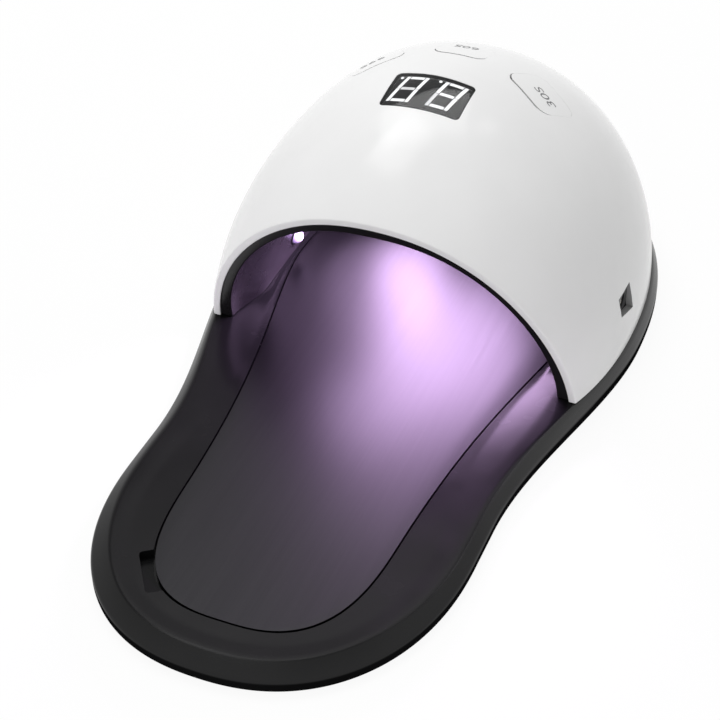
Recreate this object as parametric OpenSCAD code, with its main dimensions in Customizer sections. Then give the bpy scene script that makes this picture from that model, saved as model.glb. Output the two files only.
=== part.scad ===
// Curing lamp for gel nails: a white domed hood over a black base with a lift-out hand plate.
// Millimetres, +Z up, front (the hand opening) towards -Y, origin under the middle of the box.

/* [Base] */
// length over the base
base_length = 270; // [266:1:274]
// half width of the base under the hood
hip_half = 70.7; // [70.4:0.1:71.4]
// half width of the hand rest
tongue_half = 54.6; // [53:0.1:56]
// length of the rounded nose of the hand rest
nose_length = 65; // [60:1:70]
// squareness of the nose
nose_power = 2.25; // [2.1:0.05:2.4]
// height of the upright lower edge of the base
edge_top = 4.2; // [3.8:0.1:4.6]
// height of the hand rest and of the plate
rest_z = 6.3; // [6.2:0.1:6.6]

/* [Hood] */
// height of the joint between hood and base
seam_z = 8; // [7.8:0.1:8.2]
// half width of the hood at the joint
hood_half = 68.2; // [67.8:0.1:68.4]
// rise of the hood above the joint
hood_rise = 79.6; // [79.2:0.1:80.4]
// place of the widest section along the base
hood_y = 42.7; // [42.5:0.1:42.9]
// reach of the hood ahead of its widest section, if it were not cut off
hood_front = 87; // [86:0.5:88]
// reach of the hood behind its widest section
hood_back = 89.6; // [89:0.1:90]
// squareness of the hood in plan
plan_power = 2.244; // [2.2:0.004:2.3]
// squareness of the hood in height
rise_power = 1.834; // [1.82:0.002:1.86]
// wall of the hood
hood_wall = 2.2; // [2:0.1:2.3]
// forward lean of the arched opening, degrees
arch_lean = 12.5; // [11:0.5:14]
// foot of the plane of the arched opening
arch_y = 1.943; // [1:0.1:3]

/* [Liner] */
// half width of the liner at its foot
liner_half = 51.8; // [51.7:0.1:52]
// reach of the liner ahead of the widest section, if it were not cut off
liner_front = 114.3; // [112:0.5:116]
// reach of the liner behind the widest section
liner_back = 74; // [73:0.5:75]
// rise of the liner above the joint
liner_rise = 54.9; // [54:0.1:55.2]
// squareness of the liner in plan
liner_plan_power = 2.5; // [2.4:0.05:2.6]
// squareness of the liner in height
liner_rise_power = 1.865; // [1.84:0.005:1.9]
// wall of the liner
liner_wall = 1.6; // [1.4:0.1:1.7]
// widening of the liner towards its mouth
mouth_flare = 0.106; // [0.1:0.002:0.12]
// set-back of the front ring from the edge of the hood
ring_setback = 0.8; // [0.4:0.1:1.2]
// depth of the front ring
ring_depth = 2; // [1.6:0.1:2.6]
// clearance between the front ring and the hood
ring_gap = 0.15; // [0.1:0.05:0.2]
// clearance under the foot of the liner
liner_lift = 0.05; // [0.05:0.05:0.1]

/* [Hand plate] */
// thickness of the plate
plate_thick = 2; // [1.6:0.1:2]
// half width of the plate near its front
plate_front_half = 31.8; // [31:0.1:33]
// extra half width of the plate under the hood
plate_swell = 18.8; // [18:0.1:18.9]
// front end of the plate
plate_front_y = -118.4; // [-119:0.1:-117]
// rear end of the plate, where it tilts
plate_rear_y = 104; // [102:0.5:105]
// clearance round the plate
plate_gap = 0.6; // [0.3:0.05:0.65]

/* [Display and keys] */
// width of the display window
window_w = 25.4; // [25:0.1:26]
// height of the display window along the hood
window_h = 16.7; // [16:0.1:17]
// place of the window along the base
window_y = 32.2; // [32:0.1:32.5]
// height of a numeral
numeral_h = 12.5; // [12:0.1:12.8]
// distance from numeral to numeral
numeral_pitch = 12.6; // [12.4:0.05:12.8]
// slant of the numerals, degrees
numeral_slant = 11; // [5:0.5:12]
// width of a key
key_w = 17; // [16:0.5:18]
// depth of a key
key_d = 15; // [14:0.5:15.5]
// clearance at the sides and back of a key
key_gap = 0.2; // [0.15:0.05:0.25]
// width of the slit at the front of a key
key_slit = 0.8; // [0.4:0.05:0.9]
// turn of the outer keys, degrees
key_turn = 28.5; // [26:0.5:30]

/* [Inlet] */
// place of the power inlet along the base
inlet_y = 35.5; // [35:0.1:36]
// height of the socket
inlet_z = 23; // [22.9:0.1:23.2]
// width of the opening in the hood
inlet_w = 10.4; // [10:0.1:10.8]
// height of the opening at its rear
inlet_h = 9.2; // [9:0.1:9.6]
// rise of the lower edge of the opening towards the front
inlet_rise = 2.8; // [2:0.1:3]
// radius of the socket
socket_r = 2.85; // [2.8:0.05:2.9]
// radius of the centre pin
pin_r = 1.05; // [1:0.05:1.25]

/* [Hidden] */
// points along one side of an outline, and facets round and up the hood
side_steps = 64;
hood_steps = 56;
hood_levels = 12;
cap_level = 6;
window_level = 8;
liner_steps = 44;
liner_levels = 10;
$fn = 48;

// overshoot of a cut past a face, and a length that reaches past every wall
over = 1;
past = 20;

// base and feet
foot_drop = 0.5;
base_z = foot_drop;
half_length = base_length / 2;
nose_y = -half_length + nose_length;
tail_length = half_length - hood_y;
hip_start = -55;
hip_run = 97;
bottom_break = 0.5;
recess_gap = 0.3;
recess_floor = rest_z - plate_thick - recess_gap;
recess_rear_gap = 0.9;
channel_top = 3.8;
channel_outer = 5;
channel_inner = 13.5;
rib_w = 1.6;
rib_turn = 22.5;
foot_r = 6;
foot_sink = 0.8;
foot_gap = 0.1;
foot_places = [[24, -88], [40, 20], [30, 88]];

// case screws and the posts they run into
post_places = [[59, 14], [59.5, 66], [43, 104]];
post_r = 3.5;
post_top = 22;
gusset_t = 1.8;
gusset_len = 14;
// how far under the hood's outer face the inner ribs and posts end
rib_sink = 1;
screw_r = 1.45;
screw_top = 19;
screw_head_r = 2.9;
screw_head_h = 1.8;
screw_seat = 3.4;
thread_gap = 0.05;
hole_r = 1.7;
counterbore_r = 3.3;
boss_wall = 1.5;
screw_hole_extra = 0.5;

// control board, its posts and switches
board_top = 67.6;
board_thick = 1.6;
board_half_w = 32;
board_front = 20;
board_rear = 71;
board_posts = [[28, 25], [14.2, 68]];
board_post_r = 2.6;
board_screw_r = 1.2;
board_screw_head_r = 2.3;
board_screw_head_h = 1.4;
board_screw_reach = 4.5;
board_hole_depth = 5;
board_hole_gap = 0.2;
chip_size = [9, 7, 1.8];
chip_place = [-26, 32];
coil_size = [5, 10, 5.5];
coil_place = [16, 40];
capacitor_r = 3.2;
capacitor_h = 6;
capacitor_place = [-20, 47];
switch_w = 6;
switch_h = 3.5;
switch_floor = 1;
plunger_r = 1.7;
plunger_gap = 0.1;
plunger_low = board_top + 2.4;
plunger_high = 73.6;
key_post_r = 1.6;
key_post_cover = 1.4;
key_front_y = 58.6;
key_side_x = 27.8;
key_side_y = 59.3;
key_corner = 4;

// display stack: each layer lies this far under the hood's face
pane_under = 0.7;
seat_under = 0.75;
stroke_over = 0.8;
stroke_under = 1;
ledge = 0.6;
window_corner = 1.5;
through_corner = 0.4;
window_gap = 0.1;
module_gap = 0.2;
module_w = window_w - 2 * (ledge + module_gap);
module_d = window_h - 2 * (ledge + module_gap);
module_low = 12.8;
riser_w = 20;
riser_d = 14;
riser_h = 12;
stroke = 1.3;
stroke_gap = 0.2;
numeral_w = 7.1;
numeral_shift = [-0.5, 1.1];
dot_r = 0.6;

// lamps: angle round the liner and angle up it
lamp_places = [
  [30, 7.5], [62, 7.5], [118, 7.5], [150, 7.5], [180, 7.5],
  [-6, 30], [40, 30], [90, 30], [140, 30], [186, 30],
  [-12, 56], [20, 52], [60, 52], [120, 52], [160, 52], [192, 56],
  [-90, 84], [90, 76]
];
lamp_r = 2.7;
lamp_hole_r = 3.2;
hole_sides = 12;
lamp_board_r = 5.5;
lamp_board_t = 1;
lamp_board_gap = 0.3;
lamp_hole_from = -4;
lamp_hole_len = 10;
sensor_place = [-90, 70];
sensor_r = 1.6;
sensor_gap = 0.3;
sensor_proud = 0.4;
sensor_board = [8, 6, 1];

// inlet body, which fills the opening in the hood
inlet_face_x = 64.9;
inlet_back_x = 54.2;
inlet_back_wall = 0.6;
inlet_gap = 0.2;
inlet_above = 4.4;
inlet_top = inlet_z + inlet_above;
pin_recess = 0.4;
clip_x = 56;
clip_len = 14;
clip_t = 1.5;
wire_r = 0.7;
wire_knuckle = 0.15;
wire_pitch = 2.2;

function smooth(t) = let (c = min(1, max(0, t))) c * c * (3 - 2 * c);
function mix(a, b, t) = a + (b - a) * t;
function spow(b, e) = sign(b) * pow(abs(b), e);
function round_end(t, p) = pow(max(0, 1 - pow(min(1, t), p)), 1 / p);

// half width of the base at a place along it
function base_half(y) =
  y < nose_y ? tongue_half * round_end((nose_y - y) / nose_length, nose_power)
  : y < hood_y ? mix(tongue_half, hip_half, smooth((y - hip_start) / hip_run))
  : hip_half * round_end((y - hood_y) / tail_length, plan_power);

// half width of the plate at a place along it
plate_widest_y = 46;
plate_fall = 66;
plate_fall_power = 1.6;
plate_corner_y = -74;
plate_corner_power = 2.8;
plate_rear_power = 2.3;
function plate_half(y, front_y, rear_y) =
  y > plate_widest_y
  ? (plate_front_half + plate_swell)
    * round_end((y - plate_widest_y) / (rear_y - plate_widest_y), plate_rear_power)
  : (plate_front_half + plate_swell * exp(-pow((plate_widest_y - y) / plate_fall, plate_fall_power)))
    * (y < plate_corner_y
       ? round_end((plate_corner_y - y) / (plate_corner_y - front_y), plate_corner_power) : 1);

// closed outline of the base, front tip first, then up the right side
function along(i) = -half_length * cos(180 * i / side_steps);
base_side = [for (i = [0 : side_steps]) [base_half(along(i)), along(i)]];
base_line = concat(base_side, [for (i = [side_steps - 1 : -1 : 1]) [-base_side[i][0], base_side[i][1]]]);
line_count = len(base_line);
function line_normal(i) =
  let (
    p = base_line[(i + line_count - 1) % line_count],
    q = base_line[(i + 1) % line_count],
    t = (q - p) / norm(q - p)
  )
  [t[1], -t[0]];
line_normals = [for (i = [0 : line_count - 1]) line_normal(i)];
function inset_point(i, d) = base_line[i] - d * line_normals[i];
function inset_line(d) = [for (i = [0 : line_count - 1]) inset_point(i, d)];

// closed outline of the plate, or of the recess round it
function plate_line(front_y, rear_y, gap) =
  let (
    mid = (front_y + rear_y) / 2,
    span = (rear_y - front_y) / 2,
    side = [
      for (i = [0 : side_steps])
        let (y = mid - span * cos(180 * i / side_steps))
        [plate_half(y, front_y, rear_y), y]
    ]
  )
  concat(
    [for (p = side) [p[0] + (p[0] > 1 ? gap : 0), p[1]]],
    [for (i = [side_steps - 1 : -1 : 1]) [-side[i][0] - (side[i][0] > 1 ? gap : 0), side[i][1]]]
  );

// crest of the base: it carries the hood and fades out along the hand rest
crest_fade = 45;
crest_lift = 0.2;
rest_crest_in = 3.4;
hood_crest_in = 2.2;
front_crest_in = 5.8;
crest_front_y = -60;
crest_front_run = 60;
function crest_share(y) = smooth((y + crest_fade) / crest_fade);
function crest_z(y) = mix(rest_z + crest_lift, seam_z, crest_share(y));
function crest_in(y) =
  y < crest_front_y ? mix(rest_crest_in, front_crest_in, smooth((crest_front_y - y) / crest_front_run))
  : mix(rest_crest_in, hood_crest_in, crest_share(y));

// depth of the flank's top and foot from the outline: on the hand rest, at the mouth, under the hood
flank_tops = [7, 9, 18.5];
flank_feet = [11, 18.6, 19.1];
flank_top_run = 16;
flank_foot_run = 75;
flank_hood_run = 18;
function flank(d, run, y) =
  y > 0 ? mix(d[1], d[2], smooth(y / flank_hood_run)) : mix(d[0], d[1], smooth((y + run) / run));
function flank_top(y) = flank(flank_tops, flank_top_run, y);
function flank_foot(y) = flank(flank_feet, flank_foot_run, y);

function hood_point(th, up, inset) =
  let (
    b = (sin(th) < 0 ? hood_front : hood_back) - inset,
    ring = spow(cos(up), 2 / rise_power)
  )
  [
    (hood_half - inset) * spow(cos(th), 2 / plan_power) * ring,
    hood_y + b * spow(sin(th), 2 / plan_power) * ring,
    seam_z + (hood_rise - inset) * spow(sin(up), 2 / rise_power)
  ];

// height of the hood's outer face over a place in plan
function hood_z(x, y) =
  let (
    b = y < hood_y ? hood_front : hood_back,
    r = pow(pow(abs(x) / hood_half, plan_power) + pow(abs(y - hood_y) / b, plan_power), 1 / plan_power)
  )
  seam_z + hood_rise * pow(1 - pow(r, rise_power), 1 / rise_power);
slope_step = 0.5;
function hood_normal(p) =
  let (
    d = slope_step,
    n = [
      hood_z(p[0] - d, p[1]) - hood_z(p[0] + d, p[1]),
      hood_z(p[0], p[1] - d) - hood_z(p[0], p[1] + d),
      2 * d
    ]
  )
  n / norm(n);

flare_start = 20;
flare_run = 21;
function flare(y) = 1 + mouth_flare * smooth((flare_start - y) / flare_run);
function liner_point(th, up, grow) =
  let (
    b = (sin(th) < 0 ? liner_front : liner_back) + grow,
    ring = spow(cos(up), 2 / liner_rise_power),
    y = hood_y + b * spow(sin(th), 2 / liner_plan_power) * ring,
    f = flare(y)
  )
  [
    (liner_half + grow) * spow(cos(th), 2 / liner_plan_power) * ring * f,
    y,
    seam_z + (liner_rise + grow) * spow(sin(up), 2 / liner_rise_power) * f
  ];
function liner_normal(place) =
  let (
    d = slope_step,
    u = liner_point(place[0] + d, place[1], 0) - liner_point(place[0] - d, place[1], 0),
    v = liner_point(place[0], place[1] + d, 0) - liner_point(place[0], place[1] - d, 0),
    n = cross(u, v)
  )
  n / norm(n);

// faces of a stack of rings that all have n points, closed at both ends
function ring_faces(n, rings) = [
  for (j = [0 : rings - 2], i = [0 : n - 1], k = [0, 1])
    let (a = j * n + i, b = j * n + (i + 1) % n, c = b + n, d = a + n)
    k == 0 ? [a, d, c] : [a, c, b]
];
function fan_faces(n, rings) = [
  for (i = [0 : n - 1])
    let (a = (rings - 1) * n + i, b = (rings - 1) * n + (i + 1) % n)
    [a, rings * n, b]
];
function flat_face(n, start, flip) = [[for (i = [0 : n - 1]) start + (flip ? n - 1 - i : i)]];

// solid under the hood's face, moved inwards by inset and carried down by skirt, from one level up
module hood_solid(inset = 0, skirt = 0, start = 0) {
  foot_up = 90 * start / hood_levels;
  low = [
    for (i = [0 : hood_steps - 1])
      hood_point(360 * i / hood_steps, foot_up, inset) - [0, 0, skirt]
  ];
  body = [
    for (j = [(skirt > 0 ? start : start + 1) : hood_levels - 1], i = [0 : hood_steps - 1])
      hood_point(360 * i / hood_steps, 90 * j / hood_levels, inset)
  ];
  tip = [[0, hood_y, seam_z + hood_rise - inset]];
  rings = hood_levels - start + (skirt > 0 ? 1 : 0);
  polyhedron(
    points = concat(low, body, tip),
    faces = concat(
      flat_face(hood_steps, 0, false),
      ring_faces(hood_steps, rings),
      fan_faces(hood_steps, rings)
    )
  );
}

module liner_solid(grow = 0, skirt = 0) {
  low = [for (i = [0 : liner_steps - 1]) liner_point(360 * i / liner_steps, 0, grow) - [0, 0, skirt]];
  body = [
    for (j = [(skirt > 0 ? 0 : 1) : liner_levels - 1], i = [0 : liner_steps - 1])
      liner_point(360 * i / liner_steps, 90 * j / liner_levels, grow)
  ];
  tip = [[0, hood_y, seam_z + liner_rise + grow]];
  rings = liner_levels + (skirt > 0 ? 1 : 0);
  polyhedron(
    points = concat(low, body, tip),
    faces = concat(
      flat_face(liner_steps, 0, false),
      ring_faces(liner_steps, rings),
      fan_faces(liner_steps, rings)
    )
  );
}

// everything behind the leaning plane of the opening, from setback for a depth
module behind_arch(setback = 0, depth = base_length) {
  translate([0, arch_y, 0])
    rotate([arch_lean, 0, 0])
      translate([-half_length, setback, -half_length])
        cube([base_length, depth, base_length]);
}

// frame on the hood's face at the middle of the window, Z out of the hood
window_tilt = atan((hood_z(0, window_y + slope_step) - hood_z(0, window_y - slope_step)) / (2 * slope_step));
module at_window() {
  translate([0, window_y, hood_z(0, window_y)])
    rotate([window_tilt, 0, 0])
      children();
}

// upright walls through the hood at the window, round a flat shape
module through_window() {
  at_window()
    translate([0, 0, -past / 2])
      linear_extrude(height = past)
        children();
}

// frame on the hood's face at a place in plan, Z out of the hood
module at_hood(p) {
  n = hood_normal(p);
  translate([p[0], p[1], hood_z(p[0], p[1])])
    rotate([0, acos(n[2]), atan2(n[1], n[0])])
      children();
}

// frame on the liner at one lamp, Z out of the liner
module at_liner(place) {
  n = liner_normal(place);
  translate(liner_point(place[0], place[1], 0))
    rotate([0, acos(n[2]), atan2(n[1], n[0])])
      children();
}

module rounded_shape(w, d, r) {
  square([w - 2 * r, d], center = true);
  square([w, d - 2 * r], center = true);
  for (x = [-1, 1], y = [-1, 1])
    translate([x * (w / 2 - r), y * (d / 2 - r)])
      circle(r = r);
}

// key number: 0 left, 1 middle, 2 right
key_middle_y = key_front_y + key_d / 2;
function key_place(k) = k == 1 ? [0, key_middle_y] : [(k - 1) * key_side_x, key_side_y];
function key_angle(k) = k == 1 ? 0 : -(k - 1) * key_turn;
module key_prism(k, opening) {
  extra = opening ? 2 * key_gap : 0;
  slit = opening ? key_slit - key_gap : 0;
  translate([key_place(k)[0], key_place(k)[1], board_top])
    rotate([0, 0, key_angle(k)])
      translate([0, -slit / 2, 0])
        linear_extrude(height = hood_rise)
          rounded_shape(key_w + extra, key_d + extra + slit, key_corner);
}

// cap with the hood's own face on top and a flat underside, on a post
module key_cap(k) {
  p = key_place(k);
  post_end = hood_z(p[0], p[1]) - key_post_cover;
  intersection() {
    hood_solid(start = cap_level);
    key_prism(k, false);
    at_hood(p)
      translate([-past, -past, -hood_wall])
        cube([2 * past, 2 * past, past]);
  }
  translate([p[0], p[1], plunger_high])
    cylinder(r = key_post_r, h = post_end - plunger_high);
}

module plunger(k) {
  p = key_place(k);
  translate([p[0], p[1], plunger_low])
    cylinder(r = plunger_r, h = plunger_high - plunger_low);
}

module mirrored_places(places) {
  for (p = places, s = [-1, 1])
    translate([s * p[0], p[1], 0])
      children();
}

module top_shell() {
  color("white")
  difference() {
    union() {
      difference() {
        intersection() {
          hood_solid();
          behind_arch();
        }
        hood_solid(hood_wall, 1);
      }
      intersection() {
        hood_solid(rib_sink);
        union() {
          mirrored_places(board_posts)
            translate([0, 0, board_top])
              cylinder(r = board_post_r, h = past);
          for (z = [inlet_top, inlet_top - inlet_h - clip_t])
            translate([clip_x, inlet_y - inlet_w / 2, z])
              cube([clip_len, inlet_w, clip_t]);
          for (p = post_places, s = [-1, 1])
            translate([s * p[0], p[1], seam_z])
              rotate([0, 0, atan2(p[1] - hood_y, s * p[0])])
                translate([0, -gusset_t / 2, 0])
                  cube([gusset_len, gusset_t, post_top - seam_z]);
        }
      }
      mirrored_places(post_places)
        translate([0, 0, seam_z])
          cylinder(r = post_r, h = post_top - seam_z);
    }
    mirrored_places(board_posts)
      translate([0, 0, board_top - over])
        cylinder(r = board_screw_r + thread_gap, h = board_hole_depth + over);
    mirrored_places(post_places)
      translate([0, 0, seam_z - over])
        cylinder(r = screw_r + thread_gap, h = screw_top + screw_hole_extra - seam_z + over);
    difference() {
      through_window()
        rounded_shape(window_w + 2 * window_gap, window_h + 2 * window_gap, window_corner + window_gap);
      hood_solid(seat_under, start = window_level);
    }
    through_window()
      rounded_shape(window_w - 2 * ledge, window_h - 2 * ledge, through_corner);
    for (k = [0 : 2])
      key_prism(k, true);
    translate([clip_x, 0, 0])
      inlet_prism(past, 0);
  }
}

// prism along X with the outline of the inlet, taken in by a gap
module inlet_prism(length, gap) {
  front = inlet_y - inlet_w / 2 + gap;
  rear = inlet_y + inlet_w / 2 - gap;
  low = inlet_top - inlet_h + gap;
  rotate([90, 0, 90])
    linear_extrude(height = length)
      polygon([[front, low + inlet_rise], [rear, low], [rear, inlet_top - gap], [front, inlet_top - gap]]);
}

module reflector_liner() {
  color("dimgray")
  difference() {
    union() {
      intersection() {
        liner_solid(liner_wall, 1);
        behind_arch(ring_setback);
      }
      intersection() {
        hood_solid(hood_wall + ring_gap, 2);
        behind_arch(ring_setback, ring_depth);
      }
    }
    liner_solid(0, 3);
    translate([-half_length, -half_length, seam_z + liner_lift - past])
      cube([base_length, base_length, past]);
    for (p = lamp_places)
      at_liner(p)
        translate([0, 0, lamp_hole_from])
          cylinder(r = lamp_hole_r, h = lamp_hole_len, $fn = hole_sides);
    at_liner(sensor_place)
      translate([0, 0, lamp_hole_from])
        cylinder(r = sensor_r + sensor_gap, h = lamp_hole_len, $fn = hole_sides);
  }
}

module base_tray() {
  color([0.09, 0.09, 0.1])
  difference() {
    base_solid();
    translate([0, 0, recess_floor])
      linear_extrude(height = past)
        polygon(plate_line(plate_front_y - plate_gap, plate_rear_y + recess_rear_gap, plate_gap));
    finger_notch();
    translate([0, 0, base_z - over])
      linear_extrude(height = channel_top - base_z + over)
        difference() {
          polygon(inset_line(channel_outer));
          polygon(inset_line(channel_inner));
          for (a = [0 : rib_turn : 180 - rib_turn])
            rotate(a)
              square([2 * base_length, rib_w], center = true);
          for (p = post_places, s = [-1, 1])
            translate([s * p[0], p[1]])
              circle(r = counterbore_r + boss_wall);
          translate([notch_x, notch_y])
            circle(r = notch_len);
        }
    mirrored_places(post_places) {
      translate([0, 0, base_z - over])
        cylinder(r = hole_r, h = past);
      translate([0, 0, base_z - over])
        cylinder(r = counterbore_r, h = screw_seat - base_z + over);
    }
    mirrored_places(foot_places)
      translate([0, 0, base_z - over])
        cylinder(r = foot_r + foot_gap, h = foot_sink + over);
  }
}

// block of the base: upright edge, slope to the crest, flank down to the flat floor
module base_solid() {
  n = line_count;
  spots = [for (i = [0 : n - 1]) base_line[i][1]];
  rings = [
    [for (i = [0 : n - 1]) concat(inset_point(i, bottom_break), base_z)],
    [for (i = [0 : n - 1]) concat(inset_point(i, 0), base_z + bottom_break)],
    [for (i = [0 : n - 1]) concat(inset_point(i, 0), edge_top)],
    [for (i = [0 : n - 1]) concat(inset_point(i, crest_in(spots[i])), crest_z(spots[i]))],
    [for (i = [0 : n - 1]) concat(inset_point(i, flank_top(spots[i])), crest_z(spots[i]))],
    [for (i = [0 : n - 1]) concat(inset_point(i, flank_foot(spots[i])), rest_z)]
  ];
  polyhedron(
    points = [for (r = rings) for (p = r) p],
    faces = concat(
      flat_face(n, 0, false),
      ring_faces(n, len(rings)),
      flat_face(n, (len(rings) - 1) * n, true)
    )
  );
}

// scoop at the left front corner of the plate, to get a finger under it
notch_x = -24.7;
notch_y = -108.4;
notch_turn = 35;
notch_len = 16;
notch_w = 9;
notch_slope = 8;
notch_lift = 1;
module finger_notch() {
  translate([notch_x, notch_y, recess_floor + notch_lift])
    rotate([0, 0, notch_turn])
      rotate([-notch_slope, 0, 0])
        translate([-notch_w / 2, -notch_len / 2, 0])
          cube([notch_w, notch_len, past]);
}

module hand_plate() {
  color([0.22, 0.22, 0.24])
  translate([0, 0, rest_z - plate_thick])
    linear_extrude(height = plate_thick)
      polygon(plate_line(plate_front_y, plate_rear_y, 0));
}

module display_window() {
  color([0.03, 0.03, 0.04])
  difference() {
    intersection() {
      hood_solid(start = window_level);
      through_window()
        rounded_shape(window_w, window_h, window_corner);
    }
    hood_solid(pane_under, start = window_level);
  }
}

// block under the window, its face curved as the hood is
module display_module() {
  color([0.12, 0.12, 0.13])
  intersection() {
    hood_solid(stroke_under, start = cap_level);
    at_window()
      translate([-module_w / 2, -module_d / 2, -module_low])
        cube([module_w, module_d, past]);
  }
}

// one stroke of a numeral from its four sides, leaning with the numeral
function lean(p) = [p[0] + p[1] * tan(numeral_slant), p[1]];
function stroke_shape(left, right, low, high) =
  [for (p = [[left, low], [right, low], [right, high], [left, high]]) lean(p)];
side_in = numeral_w / 2 - stroke;
side_out = numeral_w / 2;
bar = side_in - stroke_gap;
top = numeral_h / 2;
mid = stroke_gap / 2;
stroke_sides = [
  [-bar, bar, top - stroke, top], [-bar, bar, -stroke / 2, stroke / 2], [-bar, bar, -top, stroke - top],
  [-side_out, -side_in, mid, top], [side_in, side_out, mid, top],
  [-side_out, -side_in, -top, -mid], [side_in, side_out, -top, -mid]
];
module display_digits() {
  color([1, 1, 1])
  intersection() {
    difference() {
      hood_solid(stroke_over, start = window_level);
      hood_solid(stroke_under, start = window_level);
    }
    through_window()
      for (s = [-1, 1])
        translate([s * numeral_pitch / 2, 0] + numeral_shift) {
          for (p = stroke_sides)
            polygon(stroke_shape(p[0], p[1], p[2], p[3]));
          translate([-numeral_w / 2 - dot_r, numeral_h / 2 - dot_r])
            circle(r = dot_r);
        }
  }
}

// wedge that holds the display module square to the window
module display_riser() {
  color([0.16, 0.16, 0.17])
  difference() {
    translate([-riser_w / 2, window_y - riser_d / 2, board_top])
      cube([riser_w, riser_d, riser_h]);
    at_window()
      translate([-past, -past, -module_low])
        cube([2 * past, 2 * past, past]);
  }
}

module control_board() {
  color([0.1, 0.35, 0.2])
  difference() {
    translate([-board_half_w, board_front, board_top - board_thick])
      cube([2 * board_half_w, board_rear - board_front, board_thick]);
    mirrored_places(board_posts)
      translate([0, 0, board_top - board_thick - over])
        cylinder(r = board_screw_r + board_hole_gap, h = board_thick + 2 * over);
  }
}

module board_parts() {
  color([0.1, 0.1, 0.11])
  translate([0, 0, board_top]) {
    translate(chip_place)
      cube(chip_size);
    translate(coil_place)
      cube(coil_size);
    translate(capacitor_place)
      cylinder(r = capacitor_r, h = capacitor_h);
  }
}

module board_screws() {
  color("silver")
  mirrored_places(board_posts) {
    translate([0, 0, board_top - board_thick])
      cylinder(r = board_screw_r, h = board_thick + board_screw_reach);
    translate([0, 0, board_top - board_thick - board_screw_head_h])
      cylinder(r = board_screw_head_r, h = board_screw_head_h);
  }
}

module tact_switches() {
  color([0.2, 0.2, 0.2])
  for (k = [0 : 2])
    translate([key_place(k)[0], key_place(k)[1], board_top])
      difference() {
        translate([-switch_w / 2, -switch_w / 2, 0])
          cube([switch_w, switch_w, switch_h]);
        translate([0, 0, switch_floor])
          cylinder(r = plunger_r + plunger_gap, h = switch_h);
      }
}

module key_99() {
  color("whitesmoke")
  key_cap(0);
}

module key_60() {
  color("whitesmoke")
  key_cap(1);
}

module key_30() {
  color("whitesmoke")
  key_cap(2);
}

module plunger_99() {
  color([0.15, 0.15, 0.15])
  plunger(0);
}

module plunger_60() {
  color([0.15, 0.15, 0.15])
  plunger(1);
}

module plunger_30() {
  color([0.15, 0.15, 0.15])
  plunger(2);
}

module led_boards() {
  color("silver")
  for (p = lamp_places)
    at_liner(p)
      translate([0, 0, liner_wall + lamp_board_gap])
        cylinder(r = lamp_board_r, h = lamp_board_t);
}

module led_lenses() {
  color([0.75, 0.6, 1])
  for (p = lamp_places)
    at_liner(p) {
      cylinder(r = lamp_r, h = liner_wall + lamp_board_gap);
      intersection() {
        sphere(r = lamp_r);
        translate([-lamp_r, -lamp_r, -2 * lamp_r])
          cube(2 * lamp_r);
      }
    }
}

module hand_sensor() {
  color([0.05, 0.05, 0.06])
  at_liner(sensor_place) {
    translate([0, 0, -sensor_proud])
      cylinder(r = sensor_r, h = liner_wall + lamp_board_gap + sensor_proud);
    translate([-sensor_board[0] / 2, -sensor_board[1] / 2, liner_wall + lamp_board_gap])
      cube(sensor_board);
  }
}

module dc_jack() {
  color([0.08, 0.08, 0.09])
  difference() {
    translate([inlet_back_x, 0, 0])
      inlet_prism(inlet_face_x - inlet_back_x, inlet_gap);
    translate([inlet_back_x + inlet_back_wall, inlet_y, inlet_z])
      rotate([0, 90, 0])
        cylinder(r = socket_r, h = past);
  }
}

module jack_pin() {
  color("silver")
  translate([inlet_back_x + inlet_back_wall, inlet_y, inlet_z])
    rotate([0, 90, 0])
      cylinder(r = pin_r, h = inlet_face_x - pin_recess - inlet_back_x - inlet_back_wall);
}

// one stretch of round wire
module wire_run(a, b) {
  d = b - a;
  translate(a)
    rotate([0, acos(d[2] / norm(d)), atan2(d[1], d[0])])
      cylinder(r = wire_r, h = norm(d));
  translate(b)
    sphere(r = wire_r + wire_knuckle);
}
wire_path = [[56.5, 41.5, 22], [54.5, 45.5, 30], [50, 47, 41], [40.5, 48, 57], [33.6, 48, 67]];
module power_wires() {
  color([0.7, 0.1, 0.1])
  for (s = [0, 1])
    translate([0, wire_pitch * s, 0])
      for (i = [0 : len(wire_path) - 2])
        wire_run(wire_path[i], wire_path[i + 1]);
}

module case_screws() {
  color("silver")
  mirrored_places(post_places) {
    translate([0, 0, screw_seat - screw_head_h])
      cylinder(r = screw_head_r, h = screw_head_h);
    translate([0, 0, screw_seat])
      cylinder(r = screw_r, h = screw_top - screw_seat);
  }
}

module rubber_feet() {
  color([0.13, 0.13, 0.13])
  mirrored_places(foot_places)
    cylinder(r = foot_r, h = foot_drop + foot_sink);
}

top_shell();
reflector_liner();
base_tray();
hand_plate();
display_window();
display_module();
display_digits();
display_riser();
control_board();
board_parts();
board_screws();
tact_switches();
key_99();
key_60();
key_30();
plunger_99();
plunger_60();
plunger_30();
led_boards();
led_lenses();
hand_sensor();
dc_jack();
jack_pin();
power_wires();
case_screws();
rubber_feet();
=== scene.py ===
"""Looks of a curing lamp for gel nails: a white hood, a black base, a satin hand plate and violet lamps."""
import math

import bmesh
import bpy
import numpy as np
from mathutils import Matrix, Vector


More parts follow.
